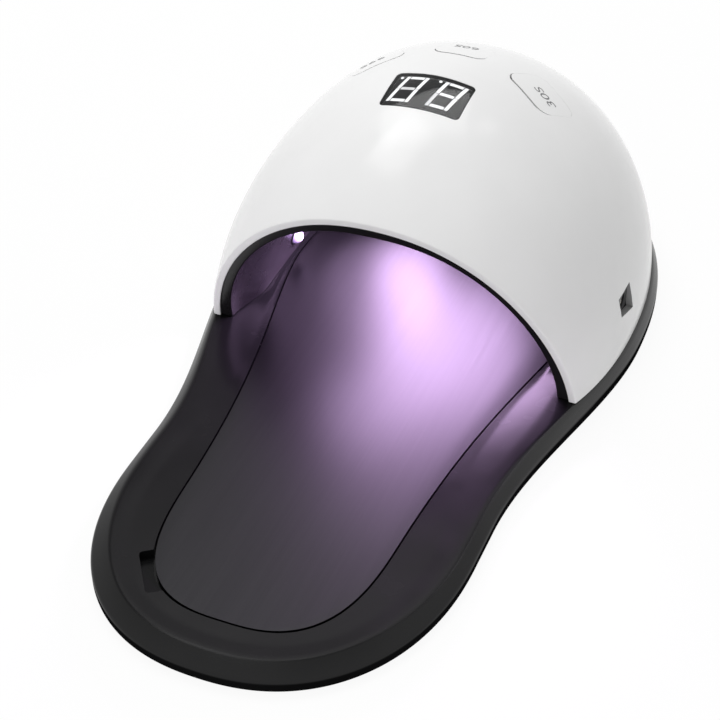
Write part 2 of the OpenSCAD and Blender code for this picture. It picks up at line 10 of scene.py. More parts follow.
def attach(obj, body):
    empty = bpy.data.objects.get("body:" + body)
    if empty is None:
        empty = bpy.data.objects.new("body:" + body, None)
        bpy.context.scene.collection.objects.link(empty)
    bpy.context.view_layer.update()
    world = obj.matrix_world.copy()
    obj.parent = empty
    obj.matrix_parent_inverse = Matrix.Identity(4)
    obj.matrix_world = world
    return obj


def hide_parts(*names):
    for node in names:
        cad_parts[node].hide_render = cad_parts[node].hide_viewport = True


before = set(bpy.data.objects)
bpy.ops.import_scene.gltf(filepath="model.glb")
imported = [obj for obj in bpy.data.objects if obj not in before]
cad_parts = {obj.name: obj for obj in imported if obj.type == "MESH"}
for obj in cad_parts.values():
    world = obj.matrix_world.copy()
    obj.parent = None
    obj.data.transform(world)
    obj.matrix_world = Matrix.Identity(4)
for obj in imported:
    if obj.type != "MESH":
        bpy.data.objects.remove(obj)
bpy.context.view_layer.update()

MM = 0.001

# Sizes in millimetres, nearly all the same as the solids have: base
HALF_LENGTH = 135
HIP_HALF = 70.68
TONGUE_HALF = 54.6
NOSE_LENGTH = 65
NOSE_POWER = 2.25
NOSE_Y = NOSE_LENGTH - HALF_LENGTH
HIP_START = -55
HIP_RUN = 97
BASE_Z = 0.5
BOTTOM_BREAK = 0.5
EDGE_TOP = 4.2
REST_Z = 6.3
RECESS_FLOOR = 4.0
RECESS_REAR_GAP = 0.9
CHANNEL_TOP = 3.8
CHANNEL_OUTER = 5
CHANNEL_INNER = 13.5
RIB_W = 1.6
RIB_TURN = 22.5
FOOT_R = 6
FOOT_HEIGHT = 1.3
FOOT_GAP = 0.1
FOOT_PLACES = [(24, -88), (40, 20), (30, 88)]
NOTCH_X, NOTCH_Y = -24.7, -108.4
NOTCH_TURN = 35
NOTCH_LENGTH, NOTCH_W = 16, 9
NOTCH_CORNER = 1.2
NOTCH_SLOPE = 8
POST_PLACES = [(59, 14), (59.5, 66), (43, 104)]
POST_WALL = 1.5
SCREW_R = 1.45
SCREW_TOP = 19
SCREW_HEAD_R = 2.9
SCREW_HEAD_H = 1.8
SCREW_SEAT = 3.4
HOLE_R = 1.7
COUNTERBORE_R = 3.3

# Section of the base: insets from its outline at the nose, at the mouth and at the rear, with the run ahead
# of the mouth over which they change, and the roundings of its corners
CREST_FADE = 45
CREST_STEP = 0.2
CREST_IN, CREST_IN_NOSE, CREST_IN_REAR = 3.4, 5.8, 2.2
CREST_NOSE_Y = -60
FLANK_TOP_IN = (7, 9, 18.5, 16)
FLANK_LOW_IN = (11, 18.6, 19.1, 75)
FLANK_RUN = 18
FLANK_FOOT = 2
FLANK_ROUND, FLANK_ROUND_REAR = 2.1, 0.3
BREAK_ROUND, EDGE_ROUND, CREST_ROUND = 0.3, 0.9, 1.6
ROUND_SHARE = 0.46

# Share of the base's full polish on its top, and on its outer slope at the nose; width of that slope
TOP_POLISH = 0.11
NOSE_POLISH = 0.4
SLOPE_W = 6.2

# Hood, with small roundings that keep its gloss free of creases
SEAM_Z = 8
HOOD_HALF = 68.2
HOOD_RISE = 79.6
HOOD_Y = 42.7
HOOD_FRONT = 87
HOOD_BACK = 89.6
PLAN_POWER = 2.244
RISE_POWER = 1.834
HOOD_WALL = 2.2
ARCH_LEAN = math.radians(12.5)
ARCH_Y = 1.943
LIP_ROUND = 0.45
CREASE_ROUND = 0.12
APEX_ROUND = 0.004

# Liner
LINER_HALF = 51.8
LINER_FRONT = 114.3
LINER_BACK = 74
LINER_RISE = 54.9
LINER_PLAN_POWER = 2.5
LINER_RISE_POWER = 1.865
LINER_WALL = 1.6
LINER_LIFT = 0.05
MOUTH_FLARE = 0.106
FLARE_START, FLARE_RUN = 20, -21
RING_SETBACK = 0.8
RING_DEPTH = 2
RING_GAP = 0.15

# Hand plate
PLATE_THICK = 2
PLATE_FRONT_HALF = 31.8
PLATE_SWELL = 18.8
PLATE_FRONT_Y = -118.4
PLATE_REAR_Y = 104
PLATE_WIDEST_Y = 46
PLATE_FALL = 66
PLATE_FALL_POWER = 1.6
PLATE_CORNER_Y = -74
PLATE_CORNER_POWER = 2.8
PLATE_REAR_POWER = 2.3
PLATE_GAP = 0.6
PLATE_ROUND = 0.8

# Display and keys
WINDOW_W, WINDOW_H = 25.4, 16.7
WINDOW_Y = 32.2
WINDOW_CORNER = 1.5
WINDOW_GAP = 0.1
TILT_SPAN = 5
PANE_UNDER = 0.7
PANE_ROUND = 0.15
SEAT_UNDER = 0.75
LEDGE = 0.6
THROUGH_CORNER = 0.4
TAPE_OVERLAP = 0.25
TAPE_GAP = 0.01
NUMERAL_W, NUMERAL_H = 7.1, 12.5
NUMERAL_PITCH = 12.6
NUMERAL_SLANT = math.radians(11)
NUMERAL_SHIFT = (-0.5, 1.1)
STROKE = 1.0
STROKE_GAP = 0.42
STROKE_OVER, STROKE_UNDER = 0.8, 1.0
DOT_R = 0.5
KEY_W, KEY_D = 17, 15
KEY_CORNER = 4
KEY_SIDE_X, KEY_SIDE_Y = 27.8, 59.3
KEY_MIDDLE_Y = 66.1
KEY_TURN = 28.5
KEY_GAP = 0.02
KEY_SLIT = 0.8
KEY_POST_R = 1.6
KEY_POST_COVER = 1.4
KEY_ROUND = 0.03
KEY_FRAME_Z = 60
PLUNGER_HIGH = 73.6
KEY_NAMES = ["key_99", "key_60", "key_30"]
KEY_BODIES = ["left_key", "middle_key", "right_key"]
MARK_SIZE = 4.5
MARK_WIDEN = 1.25
MARK_LIFT = 0.03

# Lamps: angle round the liner and angle up it; a bezel's section as radius and height
LAMP_PLACES = [
    (30, 7.5), (62, 7.5), (118, 7.5), (150, 7.5), (180, 7.5),
    (-6, 30), (40, 30), (90, 30), (140, 30), (186, 30),
    (-12, 56), (20, 52), (60, 52), (120, 52), (160, 52), (192, 56),
    (-90, 84), (90, 76),
]
LAMP_R = 2.7
LAMP_BACK = 1.9
BEZEL_SECTION = [(2.75, -0.4), (3.5, -0.4), (3.5, 0.15), (3.35, 0.35), (3.0, 0.4), (2.75, 0.2)]

# Inlet, with a box round the walls of its recess in the hood, whose faces get painted shade
INLET_Y, INLET_Z = 35.5, 23
INLET_W, INLET_H = 10.4, 9.2
INLET_RISE = 2.8
INLET_TOP = 27.4
INLET_GAP = 0.2
INLET_FACE_X, INLET_BACK_X = 64.9, 54.2
INLET_FLOOR_X = 54.8
INLET_BREAK = 0.2
INLET_SHADE_BOX = [(60, INLET_Y - 6, INLET_TOP - 10), (71, INLET_Y + 6, INLET_TOP + 0.3)]
SOCKET_R = 2.85
PIN_R = 1.05
PIN_END_X = 64.5

# Divisions of the larger meshes
HOOD_STEPS, HOOD_ROWS, HOOD_INNER_ROWS = 201, 150, 60
LINER_STEPS, LINER_ROWS, LINER_OUTER_ROWS = 161, 110, 50
LIP_STEPS = 3
BASE_STEPS, BASE_ROUND_STEPS = 220, 5
RECESS_STEPS = 240
PLATE_ROWS, PLATE_COLUMNS = 240, 13
SHEET_SHARES = [0.12, 0.3, 0.5, 0.68, 0.84, 0.94, 0.985]
SHEET_STEP = 0.8
WELD = 0.01

# How far cutters reach past what they cut
BELOW, ABOVE = -1, 20
RIB_CUT = (-5, 10)
RECESS_CUT = 30
SEAT_CUT, THROUGH_CUT, KEY_CUT, INLET_CUT = -12, 10, 40, 80

# Camera: viewing angles in degrees, the point looked at and the distance in millimetres
CAMERA_AZIMUTH = 23.402
CAMERA_ELEVATION = 38.890
CAMERA_ROLL = -1.075
CAMERA_AIM = (-11.328, 3.6, 0.8)
CAMERA_DISTANCE = 547.463
CAMERA_LENS = 84.857
SENSOR_W = 36

# Stage
FLOOR_HALF = 4000
FLOOR_GREY = 0.9
FLOOR_WHITE = 0.92
FILL_STRENGTH = 0.41
VIOLET = (0.85, 0.57, 1.0)


# Curves that the pieces share
def ease(value, start, run):
    """0 at the start, 1 after the run, with a soft beginning and end."""
    c = np.clip((value - start) / run, 0, 1)
    return c * c * (3 - 2 * c)


def mix(a, b, t):
    return a + (b - a) * t


def unit(v):
    return v / np.maximum(np.linalg.norm(v, axis=-1, keepdims=True), 1e-9)


def round_end(t, power):
    return np.maximum(0, 1 - np.clip(t, 0, 1) ** power) ** (1 / power)


def base_half(y):
    """Half width of the base at places along it."""
    nose = TONGUE_HALF * round_end((NOSE_Y - y) / NOSE_LENGTH, NOSE_POWER)
    waist = mix(TONGUE_HALF, HIP_HALF, ease(y, HIP_START, HIP_RUN))
    tail = HIP_HALF * round_end((y - HOOD_Y) / (HALF_LENGTH - HOOD_Y), PLAN_POWER)
    return np.where(y < NOSE_Y, nose, np.where(y < HOOD_Y, waist, tail))


def recess_half(y, front_y, rear_y):
    """Half width of the recess for the hand plate at places along it, without the gap at its sides."""
    fall = np.exp(-(np.maximum(PLATE_WIDEST_Y - y, 0) / PLATE_FALL) ** PLATE_FALL_POWER)
    nose = round_end((PLATE_CORNER_Y - y) / (PLATE_CORNER_Y - front_y), PLATE_CORNER_POWER)
    rear = round_end((y - PLATE_WIDEST_Y) / (rear_y - PLATE_WIDEST_Y), PLATE_REAR_POWER)
    return np.minimum((PLATE_FRONT_HALF + PLATE_SWELL * fall) * nose, (PLATE_FRONT_HALF + PLATE_SWELL) * rear)


def closed_line(half, front_y, rear_y, steps):
    """Closed outline from a half width along Y: up the right side and down the left."""
    turn = np.linspace(0, 2 * math.pi, 2 * steps, endpoint=False)
    y = (front_y + rear_y) / 2 - (rear_y - front_y) / 2 * np.cos(turn)
    return np.stack([half(y) * np.where(turn > math.pi, -1, 1), y], 1)


def inset_line(line, depth):
    """The outline moved inwards along its own normals, by one depth or one for each point."""
    along = unit(np.roll(line, -1, 0) - np.roll(line, 1, 0))
    out = np.stack([along[:, 1], -along[:, 0]], 1)
    return line - out * np.reshape(depth, (-1, 1))


def soft_power(u, power):
    low = CREASE_ROUND**power
    top = (1 + CREASE_ROUND**2) ** (power / 2) - low
    return ((u * u + CREASE_ROUND**2) ** (power / 2) - low) / top


def hood_share(x, y, inset=0):
    """0 under the crown of the hood, 1 at its foot; the hood is a superellipsoid."""
    reach = np.where(y < HOOD_Y, HOOD_FRONT, HOOD_BACK) - inset
    plan = soft_power(x / (HOOD_HALF - inset), PLAN_POWER) + soft_power((y - HOOD_Y) / reach, PLAN_POWER)
    q = RISE_POWER / PLAN_POWER
    low = APEX_ROUND**q
    return ((plan + APEX_ROUND) ** q - low) / ((1 + APEX_ROUND) ** q - low)


def hood_field(p, inset=0):
    """Below 0 inside the hood's face, above 0 outside."""
    rise = np.maximum(p[..., 2] - SEAM_Z, 0) / (HOOD_RISE - inset)
    return hood_share(p[..., 0], p[..., 1], inset) + rise**RISE_POWER - 1


def hood_z(x, y):
    rest = np.maximum(1 - hood_share(x, y), 0)
    return SEAM_Z + HOOD_RISE * rest ** (1 / RISE_POWER)


def hood_normal(p):
    """Outward normals of the hood's face at points near it."""
    steps = 0.05 * np.eye(3)
    return unit(np.stack([hood_field(p + step) - hood_field(p - step) for step in steps], -1))


def liner_field(p, grow=0):
    reach = np.where(p[..., 1] < HOOD_Y, LINER_FRONT, LINER_BACK) + grow
    across = np.abs(p[..., 0] / (LINER_HALF + grow)) ** LINER_PLAN_POWER
    plan = across + np.abs((p[..., 1] - HOOD_Y) / reach) ** LINER_PLAN_POWER
    rise = np.maximum(p[..., 2] - SEAM_Z, 0) / (LINER_RISE + grow)
    return plan ** (LINER_RISE_POWER / LINER_PLAN_POWER) + rise**LINER_RISE_POWER - 1


def flared(p):
    """The liner widens towards its mouth."""
    f = 1 + MOUTH_FLARE * ease(p[..., 1], FLARE_START, FLARE_RUN)
    return np.stack([p[..., 0] * f, p[..., 1], SEAM_Z + (p[..., 2] - SEAM_Z) * f], -1)


def as_is(p):
    return p


def arch_distance(p):
    """How far points lie behind the leaning plane of the opening."""
    return (p[..., 1] - ARCH_Y) * math.cos(ARCH_LEAN) + p[..., 2] * math.sin(ARCH_LEAN)


def bisect(inside, low, high):
    """Where a test turns from true to false, for arrays of places."""
    for _ in range(44):
        middle = (low + high) / 2
        yes = inside(middle)
        low = np.where(yes, middle, low)
        high = np.where(yes, high, middle)
    return low


def on_hood(matrix, flat, inset):
    """Points of the hood's face, moved inwards by inset, that flat places in a frame reach along its Z."""
    turn = np.array(matrix).T

    def lifted(w):
        return (np.column_stack([flat, w, np.ones(len(flat))]) @ turn)[:, :3]

    low = np.full(len(flat), -30.0)
    return lifted(bisect(lambda w: hood_field(lifted(w), inset) < 0, low, low + 90))


class Dome:
    """A half dome, reached on rays from the middle of its foot: angle round the Y axis, angle from +Y."""

    def __init__(self, field, shape, steps):
        self.field = field
        self.shape = shape
        self.around = np.linspace(0, math.pi, steps)

    def points(self, back):
        across = np.sin(back)
        ray = np.stack([across * np.cos(self.around), np.cos(back), across * np.sin(self.around)], -1)
        middle = np.array([0, HOOD_Y, SEAM_Z])
        low = np.zeros(back.shape)
        reach = bisect(lambda s: self.field(middle + ray * s[..., None]) < 0, low, low + 200)
        return self.shape(middle + ray * reach[..., None])

    def front(self, setback):
        """The angle from +Y at which each ray meets the opening, or a plane behind it."""
        low, high = (np.full(self.around.shape, math.radians(a)) for a in (40, 175))
        return bisect(lambda back: arch_distance(self.points(back)) > setback, low, high)

    def edge(self, setback):
        return self.points(self.front(setback))

    def rows(self, setback, count):
        """Rows of points from just ahead of the rear pole to the opening."""
        front = self.front(setback)
        return [self.points(front * (j + 1) / count) for j in range(count)]


def corner(a, b, c, steps):
    """Rows that turn from a to c round the corner b, without a and c themselves."""
    ts = [(k + 1) / (steps + 1) for k in range(steps)]
    return [(1 - t) ** 2 * a + 2 * t * (1 - t) * b + t * t * c for t in ts]


# Mesh helpers
def new_object(name, data):
    made = bpy.data.objects.new(name, data)
    bpy.context.scene.collection.objects.link(made)
    return made


def add_piece(name, points, faces, finish=None):
    mesh = bpy.data.meshes.new(name)
    mesh.from_pydata((np.asarray(points, float) * MM).tolist(), [], faces)
    if finish:
        mesh.materials.append(finish)
    return new_object(name, mesh)


def face_outwards(piece):
    cells = bmesh.new()
    cells.from_mesh(piece.data)
    bmesh.ops.recalc_face_normals(cells, faces=cells.faces)
    cells.to_mesh(piece.data)
    cells.free()
    return piece


def made_mesh(piece):
    """The mesh that a piece's modifiers or letters make."""
    graph = bpy.context.evaluated_depsgraph_get()
    return bpy.data.meshes.new_from_object(piece.evaluated_get(graph))


def settle(piece):
    """Keeps what a piece's modifiers make as its own mesh."""
    mesh = made_mesh(piece)
    piece.modifiers.clear()
    piece.data = mesh


def shade(piece, angle=32):
    piece.data.shade_smooth()
    piece.data.set_sharp_from_angle(angle=math.radians(angle))


def read(items, name, width=1, kind=float):
    """One property of all vertices, corners or faces of a mesh."""
    values = np.zeros(len(items) * width, kind)
    items.foreach_get(name, values)
    return values.reshape(-1, width) if width > 1 else values


def follow_hood(piece, near=0.0015, agree=0.95):
    """Gives the faces that lie on the hood's outer face the true normals of that face."""
    mesh = piece.data
    co = read(mesh.vertices, "co", 3) / MM
    out = hood_normal(co)
    flat = read(mesh.polygons, "normal", 3)
    vertex = read(mesh.loops, "vertex_index", kind=int)
    sizes = read(mesh.polygons, "loop_total", kind=int)
    face = np.repeat(np.arange(len(sizes)), sizes)
    along = np.einsum("ij,ij->i", out[vertex], flat[face]) > agree
    good = np.ones(len(sizes), bool)
    np.logical_and.at(good, face, (np.abs(hood_field(co)) < near)[vertex] & along)
    mesh.normals_split_custom_set(np.where(good[face][:, None], out[vertex], 0).tolist())


def loft_faces(rows, count, closed):
    faces = []
    for r in range(rows - 1):
        for i in range(count if closed else count - 1):
            a = r * count + i
            b = r * count + (i + 1) % count
            faces.append((a, b, b + count, a + count))
    return faces


def stack(name, rings, finish=None):
    """Closed solid from rings of equal length, with a flat face at each end."""
    count = len(rings[0])
    last = (len(rings) - 1) * count
    ends = [tuple(range(count))[::-1], tuple(range(last, last + count))]
    faces = loft_faces(len(rings), count, True) + ends
    return face_outwards(add_piece(name, np.concatenate(rings), faces, finish))


def band(name, rings, finish=None):
    """Closed ring-shaped solid from rings of equal length that go once round its section."""
    count = len(rings[0])
    total = count * len(rings)
    faces = [tuple(v % total for v in face) for face in loft_faces(len(rings) + 1, count, True)]
    return face_outwards(add_piece(name, np.concatenate(rings), faces, finish))


def at_height(line, z):
    return np.column_stack([line, np.broadcast_to(z, len(line))])


def prism(name, line, low, high):
    return stack(name, [at_height(line, low), at_height(line, high)])


def turned(name, profile, steps, finish=None):
    """Closed solid turned round Z from (radius, height) points that start and end on the axis."""
    rings = [at_height(circle(r, steps), z) for r, z in profile[1:-1]]
    first = len(rings) * steps
    faces = loft_faces(len(rings), steps, True)
    for i in range(steps):
        k = (i + 1) % steps
        faces.append((first, k, i))
        faces.append((first + 1, first - steps + i, first - steps + k))
    ends = np.array([[0, 0, profile[0][1]], [0, 0, profile[-1][1]]])
    return face_outwards(add_piece(name, np.concatenate(rings + [ends]), faces, finish))


def place(piece, matrix):
    """Puts the place of a piece into its mesh; the matrix is in millimetres."""
    scaled = matrix.copy()
    scaled.translation = matrix.translation * MM
    piece.data.transform(scaled)
    return piece


def turn_about(axis, degrees):
    return Matrix.Rotation(math.radians(degrees), 4, axis)


def carve(piece, *cutters, operation="DIFFERENCE"):
    for cutter in cutters:
        step = piece.modifiers.new("carve", "BOOLEAN")
        step.object = cutter
        step.operation = operation
        step.solver = "EXACT"
    settle(piece)
    for cutter in cutters:
        bpy.data.objects.remove(cutter)
    return piece


def together(name, pieces):
    """One object from several that don't touch."""
    cells = bmesh.new()
    for piece in pieces:
        cells.from_mesh(piece.data)
        bpy.data.objects.remove(piece)
    mesh = bpy.data.meshes.new(name)
    cells.to_mesh(mesh)
    cells.free()
    return new_object(name, mesh)


def mirrored(places):
    return [(side * x, y) for x, y in places for side in (-1, 1)]


def circle(r, steps):
    a = np.linspace(0, 2 * math.pi, steps, endpoint=False)
    return r * np.stack([np.cos(a), np.sin(a)], 1)


def rectangle(half_w, half_d):
    return np.array([(-1, -1), (1, -1), (1, 1), (-1, 1)]) * [half_w, half_d]


def rounded_line(w, d, r, steps=10):
    """Closed rounded rectangle round the origin."""
    points = []
    for k, (sx, sy) in enumerate([(1, 1), (-1, 1), (-1, -1), (1, -1)]):
        a = np.linspace(0, math.pi / 2, steps) + k * math.pi / 2
        points.append(np.stack([sx * (w / 2 - r) + r * np.cos(a), sy * (d / 2 - r) + r * np.sin(a)], 1))
    return np.concatenate(points)


def fine(line):
    """The closed outline with points added, so that a sheet inside it can follow a curved face."""
    pieces = []
    for a, b in zip(line, np.roll(line, -1, 0)):
        count = max(1, math.ceil(np.linalg.norm(b - a) / SHEET_STEP))
        pieces.append(a + (b - a) * np.linspace(0, 1, count, endpoint=False)[:, None])
    return np.concatenate(pieces)


def ride(piece, body, slot, *nodes):
    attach(piece, body)
    if nodes:
        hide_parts(*nodes)


# Node trees
class Sum:
    """A number in a node tree that adds, multiplies and raises as in ordinary code."""

    def __init__(self, tree, socket):
        self.tree = tree
        self.socket = socket

    def maths(self, operation, *values):
        node = self.tree.nodes.new("ShaderNodeMath")
        node.operation = operation
        for slot, value in zip(node.inputs, values):
            feed(self.tree, slot, value)
        return Sum(self.tree, node.outputs["Value"])

    def __add__(self, other):
        return self.maths("ADD", self, other)

    def __sub__(self, other):
        return self.maths("SUBTRACT", self, other)

    def __rsub__(self, other):
        return self.maths("SUBTRACT", other, self)

    def __mul__(self, other):
        return self.maths("MULTIPLY", self, other)

    def __truediv__(self, other):
        return self.maths("DIVIDE", self, other)

    def __pow__(self, other):
        return self.maths("POWER", self, other)

    def at_least(self, other):
        return self.maths("MAXIMUM", self, other)

    def round_end(self, power):
        return (1 - self.at_least(0) ** power).at_least(0) ** (1 / power)


def feed(tree, slot, value):
    """Links an input to a socket or a Sum, or sets it to a plain value."""
    if isinstance(value, Sum):
        value = value.socket
    if isinstance(value, bpy.types.NodeSocket):
        tree.links.new(value, slot)
    else:
        slot.default_value = value


def set_inputs(tree, node, **inputs):
    """Feeds inputs by name; an underscore in a name stands for a space."""
    for name, value in inputs.items():
        feed(tree, node.inputs[name.replace("_", " ")], value)


def add_node(tree, kind, **inputs):
    node = tree.nodes.new(kind)
    set_inputs(tree, node, **inputs)
    return node


# Finishes
class Finish:
    """A material with its shader and short ways to add textures to it."""

    def __init__(self, name, **sockets):
        self.material = bpy.data.materials.new(name)
        self.material.use_nodes = True
        self.tree = self.material.node_tree
        self.shader = self.tree.nodes["Principled BSDF"]
        self.use(**sockets)
        self.place = self.add("ShaderNodeTexCoord").outputs["Object"]

    def add(self, kind, **inputs):
        return add_node(self.tree, kind, **inputs)

    def use(self, **sockets):
        set_inputs(self.tree, self.shader, **sockets)

    def noise(self, scale, detail, stretch=None):
        source = self.place
        if stretch:
            source = self.add("ShaderNodeMapping", Vector=source, Scale=stretch).outputs["Vector"]
        return self.add("ShaderNodeTexNoise", Vector=source, Scale=scale, Detail=detail).outputs["Fac"]

    def attribute(self, name):
        node = self.add("ShaderNodeAttribute")
        node.attribute_name = name
        return node.outputs["Fac"]

    def spread(self, value, low, high, start=0.3, end=0.7):
        """Maps a texture from start..end to low..high."""
        ends = {"From_Min": start, "From_Max": end, "To_Min": low, "To_Max": high}
        return self.add("ShaderNodeMapRange", Value=value, **ends).outputs["Result"]

    def colours(self, value, dark, light, start=0.3, end=0.7):
        """Maps a texture from start..end to two colours."""
        ramp = self.add("ShaderNodeValToRGB", Fac=value)
        for element, position, colour in zip(ramp.color_ramp.elements, (start, end), (dark, light)):
            element.position = position
            element.color = (*colour, 1)
        return ramp.outputs["Color"]

    def bump(self, height, depth):
        step = self.add("ShaderNodeBump", Strength=1.0, Distance=depth * MM, Height=height)
        for link in self.shader.inputs["Normal"].links:
            set_inputs(self.tree, step, Normal=link.from_socket)
        self.use(Normal=step.outputs["Normal"])


def grey(level):
    return (level, level, level)


def moulded(name, dark, light, rough, grain, depth, polish=None, **sockets):
    """Moulded plastic: cloudy colour, uneven gloss and a fine skin; polish is the gloss at marked edges."""
    finish = Finish(name, **sockets)
    if polish:
        finish.use(Specular_IOR_Level=finish.spread(finish.attribute("edge"), *polish, 0, 1))
    finish.use(
        Base_Color=finish.colours(finish.noise(26, 4), dark, light, 0.35, 0.65),
        Roughness=finish.spread(finish.noise(60, 5), *rough),
    )
    finish.bump(finish.noise(grain, 2), depth)
    return finish.material


def satin_plate():
    """Dark satin metal, streaked lengthwise."""
    finish = Finish("satin_plate", Metallic=1.0)
    streaks = finish.noise(1, 6, (1500, 26, 400))
    finish.use(
        Base_Color=finish.colours(streaks, (0.012, 0.012, 0.0127), (0.014, 0.014, 0.0147)),
        Roughness=finish.spread(finish.noise(1, 4, (900, 14, 300)), 0.38, 0.41),
    )
    finish.bump(streaks, 0.0004)
    finish.bump(finish.noise(1400, 2), 0.0015)
    return finish.material


def smoked_window():
    finish = Finish("smoked_window", Alpha=0.4, IOR=1.5)
    cloud = finish.noise(90, 4)
    finish.use(
        Base_Color=finish.colours(cloud, (0.006, 0.006, 0.007), (0.012, 0.012, 0.013)),
        Roughness=finish.spread(cloud, 0.02, 0.06),
    )
    return finish.material


def numeral_finish(name, strength):
    finish = Finish(name, Base_Color=(0.6, 0.6, 0.62, 1), Emission_Strength=strength)
    glow = finish.noise(900, 2)
    finish.use(
        Emission_Color=finish.colours(glow, (0.86, 0.87, 0.9), (1, 1, 1)),
        Roughness=finish.spread(glow, 0.4, 0.55),
    )
    return finish.material


def lamp_lens():
    """Clear violet, brightest at the tip of the dome."""
    finish = Finish("lamp_lens", Base_Color=(0.7, 0.62, 0.85, 1), Roughness=0.15)
    tip = finish.attribute("dome")
    finish.use(
        Emission_Color=finish.colours(tip, (0.35, 0.12, 0.8), (0.9, 0.75, 1), 0, 1),
        Emission_Strength=finish.spread(tip, 0.2, 9.0, 0.8, 1.0),
    )
    finish.bump(finish.noise(1600, 2), 0.01)
    return finish.material


def metal(name, dark, light, rough, stretch):
    finish = Finish(name, Metallic=1.0)
    lines = finish.noise(1, 5, stretch)
    finish.use(Base_Color=finish.colours(lines, dark, light), Roughness=finish.spread(lines, *rough))
    finish.bump(lines, 0.006)
    return finish.material


def board_green():
    """Solder mask with paler tracks under it."""
    finish = Finish("board_green")
    tracks = finish.add("ShaderNodeTexBrick", Vector=finish.place, Scale=160, Mortar_Size=0.03).outputs["Fac"]
    finish.use(
        Base_Color=finish.colours(tracks, (0.012, 0.075, 0.032), (0.03, 0.16, 0.07), 0.2, 0.8),
        Roughness=finish.spread(finish.noise(300, 3), 0.25, 0.4),
    )
    finish.bump(tracks, 0.02)
    return finish.material


WHITE = moulded("white_shell", grey(0.81), grey(0.84), (0.13, 0.2), 500, 0.006, Specular_IOR_Level=0.2)
BLACK_BASE = moulded(
    "black_base", (0.004, 0.004, 0.0042), (0.0055, 0.0055, 0.0058), (0.20, 0.28), 2200, 0.008, polish=(0, 0.5)
)
# Grey for the walls of the inlet's recess in the white hood: painted shade
INLET_PAINTED_SHADE = moulded("inlet_grey", grey(0.26), grey(0.31), (0.3, 0.4), 500, 0.006)
DARK_LINER = moulded(
    "dark_liner", (0.008, 0.007, 0.0085), (0.012, 0.011, 0.0125), (0.24, 0.32), 900, 0.003,
    Specular_IOR_Level=0.26,
)
BLACK_PLASTIC = moulded(
    "black_plastic", (0.010, 0.010, 0.011), (0.018, 0.018, 0.019), (0.3, 0.45), 1800, 0.02
)
FOOT_RUBBER = moulded("foot_rubber", grey(0.012), grey(0.022), (0.6, 0.8), 2600, 0.04)
RED_WIRE = moulded("red_wire", (0.32, 0.014, 0.014), (0.42, 0.022, 0.02), (0.35, 0.5), 1500, 0.02)
DISPLAY_BLACK = moulded(
    "display_black", grey(0.003), grey(0.005), (0.4, 0.5), 1500, 0.004, Specular_IOR_Level=0.05
)
PRINT_GREY = moulded("print_grey", (0.11, 0.11, 0.115), (0.15, 0.15, 0.155), (0.35, 0.5), 1500, 0.004)
SATIN_PLATE = satin_plate()
SMOKED_WINDOW = smoked_window()
LIT_NUMERALS = numeral_finish("lit_numerals", 2.8)
# Strokes that are not lit still glow here, at a lower strength: painted glow
UNLIT_NUMERALS_PAINTED_GLOW = numeral_finish("unlit_numerals", 1.9)
LAMP_LENS = lamp_lens()
SCREW_STEEL = metal("screw_steel", (0.42, 0.41, 0.4), (0.6, 0.59, 0.57), (0.25, 0.4), (500, 500, 90))
BOARD_ALUMINIUM = metal(
    "board_aluminium", (0.62, 0.62, 0.63), (0.75, 0.75, 0.76), (0.3, 0.45), (900, 900, 60)
)
PIN_METAL = metal("pin_metal", (0.55, 0.52, 0.46), (0.72, 0.69, 0.62), (0.18, 0.3), (80, 900, 900))
BOARD_GREEN = board_green()


# Geometry nodes
def new_tree(name, **inputs):
    """A node tree with the named inputs and a geometry input and output; returns it with its inputs."""
    tree = bpy.data.node_groups.new(name, "GeometryNodeTree")
    tree.interface.new_socket("Geometry", in_out="INPUT", socket_type="NodeSocketGeometry")
    for label, kind in inputs.items():
        tree.interface.new_socket(label.replace("_", " "), in_out="INPUT", socket_type="NodeSocket" + kind)
    tree.interface.new_socket("Geometry", in_out="OUTPUT", socket_type="NodeSocketGeometry")
    return tree, tree.nodes.new("NodeGroupInput").outputs


def end_tree(tree, given, geometry):
    """Realize Instances and Set Material, then the output."""
    real = add_node(tree, "GeometryNodeRealizeInstances", Geometry=geometry).outputs["Geometry"]
    paint = add_node(tree, "GeometryNodeSetMaterial", Geometry=real, Material=given["Finish"])
    add_node(tree, "NodeGroupOutput", Geometry=paint.outputs["Geometry"])
    return tree


def grow(piece, tree, **values):
    """Runs a tree on a piece with its inputs set, and keeps the result as a plain mesh."""
    step = piece.modifiers.new("grow", "NODES")
    step.node_group = tree
    for socket in tree.interface.items_tree:
        label = socket.name.replace(" ", "_")
        if socket.in_out == "INPUT" and label in values:
            step[socket.identifier] = values[label]
    settle(piece)


def set_on_places_tree():
    """Copies of a pattern on every point, its Z turned along the point's own direction."""
    tree, given = new_tree("set_on_places", Pattern="Object", Size="Float", Finish="Material")
    pattern = add_node(tree, "GeometryNodeObjectInfo", Object=given["Pattern"])
    direction = add_node(tree, "GeometryNodeInputNamedAttribute", Name="direction")
    direction.data_type = "FLOAT_VECTOR"
    align = add_node(tree, "FunctionNodeAlignRotationToVector", Vector=direction.outputs["Attribute"])
    align.axis = "Z"
    copies = add_node(
        tree, "GeometryNodeInstanceOnPoints", Points=given["Geometry"], Instance=pattern.outputs["Geometry"],
        Rotation=align.outputs["Rotation"], Scale=given["Size"],
    )
    return end_tree(tree, given, copies.outputs["Instances"])


SET_ON_PLACES = set_on_places_tree()


def set_on_places(name, pattern, points, directions, finish, size=1.0):
    piece = add_piece(name, points, [])
    turn = piece.data.attributes.new("direction", "FLOAT_VECTOR", "POINT")
    turn.data.foreach_set("vector", np.asarray(directions, np.float32).ravel())
    grow(piece, SET_ON_PLACES, Pattern=pattern, Size=size, Finish=finish)
    bpy.data.objects.remove(pattern)
    return piece


def welded(tree, geometry):
    weld = add_node(tree, "GeometryNodeMergeByDistance", Geometry=geometry, Distance=WELD * MM)
    return weld.outputs["Geometry"]


